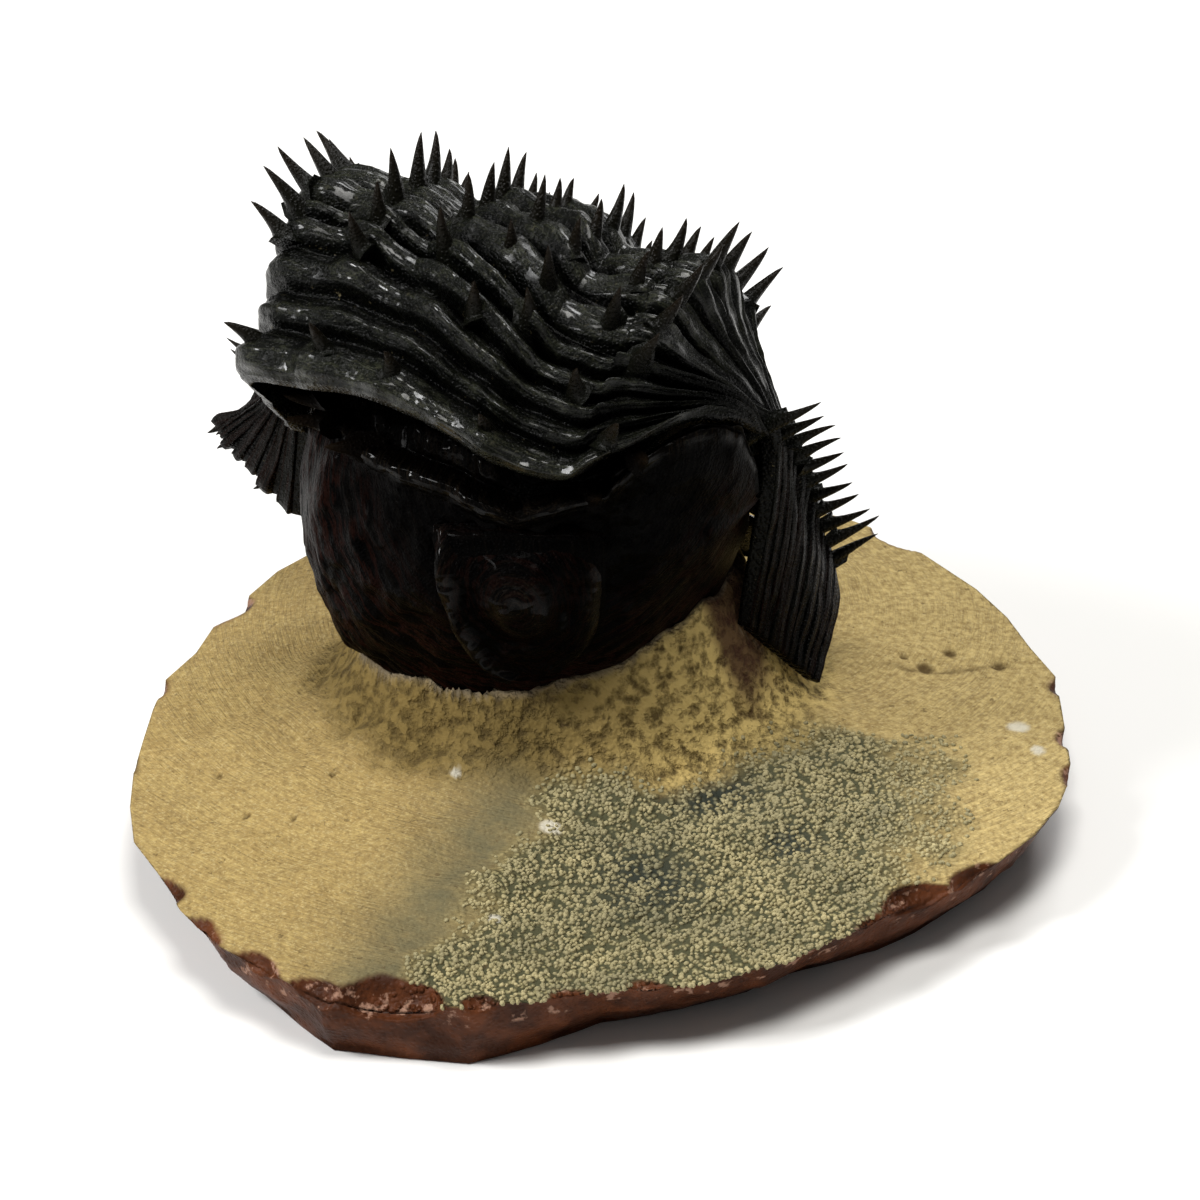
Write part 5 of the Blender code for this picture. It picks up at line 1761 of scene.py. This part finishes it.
def build_grain_tree():
    """Scatters small lumps over a mesh, as densely as its value for grains says."""
    sizes = (("Density", 3.0e6), ("Smallest", 0.00012), ("Largest", 0.00042))
    tree, given = modifier_tree("rock_grains", sizes)
    link = tree.links.new
    spread = new_node(tree, "GeometryNodeDistributePointsOnFaces", distribute_method="RANDOM")
    link(given.outputs["Geometry"], spread.inputs["Mesh"])
    density = math_node(tree, "MULTIPLY", named_value(tree, "grains", "FLOAT"), given.outputs["Density"])
    link(density, spread.inputs["Density"])
    link(given.outputs["Seed"], spread.inputs["Seed"])
    lump = new_node(tree, "GeometryNodeMeshIcoSphere")
    lump.inputs["Radius"].default_value = 1.0
    lump.inputs["Subdivisions"].default_value = 1
    turns = random_value(tree, "FLOAT_VECTOR", (0.0,) * 3, (math.tau,) * 3, given.outputs["Seed"])
    place_copies(tree, given, spread.outputs["Points"], lump.outputs["Mesh"], turns, lump_sizes(tree, given))
    return tree


grain_tree = build_grain_tree()
print("grain tree:", len(grain_tree.nodes), "nodes")


# %% Grains on the rock
GRAIN_RELIEF = 0.0001
FACES_OF_A_GRAIN = 20


def grain_finish(name):
    """Dull grey-tan grains, some in shade."""
    finish = Finish(name)
    colour = finish.mix(finish.patchy(0.0012, 0.5, 0.3), (0.28, 0.24, 0.12), (0.47, 0.40, 0.21))
    colour = finish.over(colour, (0.155, 0.145, 0.088), finish.patchy(0.012, 0.45, 0.4), 0.85)
    finish.feed("Base Color", colour)
    finish.shader.inputs["Roughness"].default_value = 0.85
    finish.shader.inputs["Specular IOR Level"].default_value = 0.25
    finish.relief(finish.group(grit, "Height", Vector=finish.place, Size=0.0003), GRAIN_RELIEF, 0.6)
    return finish.material


def grain_share(data):
    """How densely grains lie on each point of the rock, from its masks."""
    masks = {}
    for key in ("blasted", "ochre", "pink", "dark", "broken", "contact"):
        values = np.zeros(len(data.vertices), dtype=np.float32)
        data.attributes[key].data.foreach_get("value", values)
        masks[key] = values
    share = masks["blasted"] * (1.0 - 0.5 * masks["dark"])
    for key in ("pink", "ochre", "broken", "contact"):
        share = share * (1.0 - masks[key])
    return share


grain_material = grain_finish("limestone_grains")
seed_rock = bpy.data.objects.new("grain_ground", matrix.data.copy())
bpy.context.scene.collection.objects.link(seed_rock)
store(seed_rock.data, {"grains": grain_share(seed_rock.data)})
grain_inputs = {
    "Density": 2.4e6,
    "Smallest": 0.00018,
    "Largest": 0.00046,
    "Seed": 11,
    "Material": grain_material,
}
grains = joined_piece("rock_grains", [evaluated_copy(seed_rock, grain_tree, grain_inputs)], [grain_material])
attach(grains, "root")
print("grains:", len(grains.data.polygons) // FACES_OF_A_GRAIN)
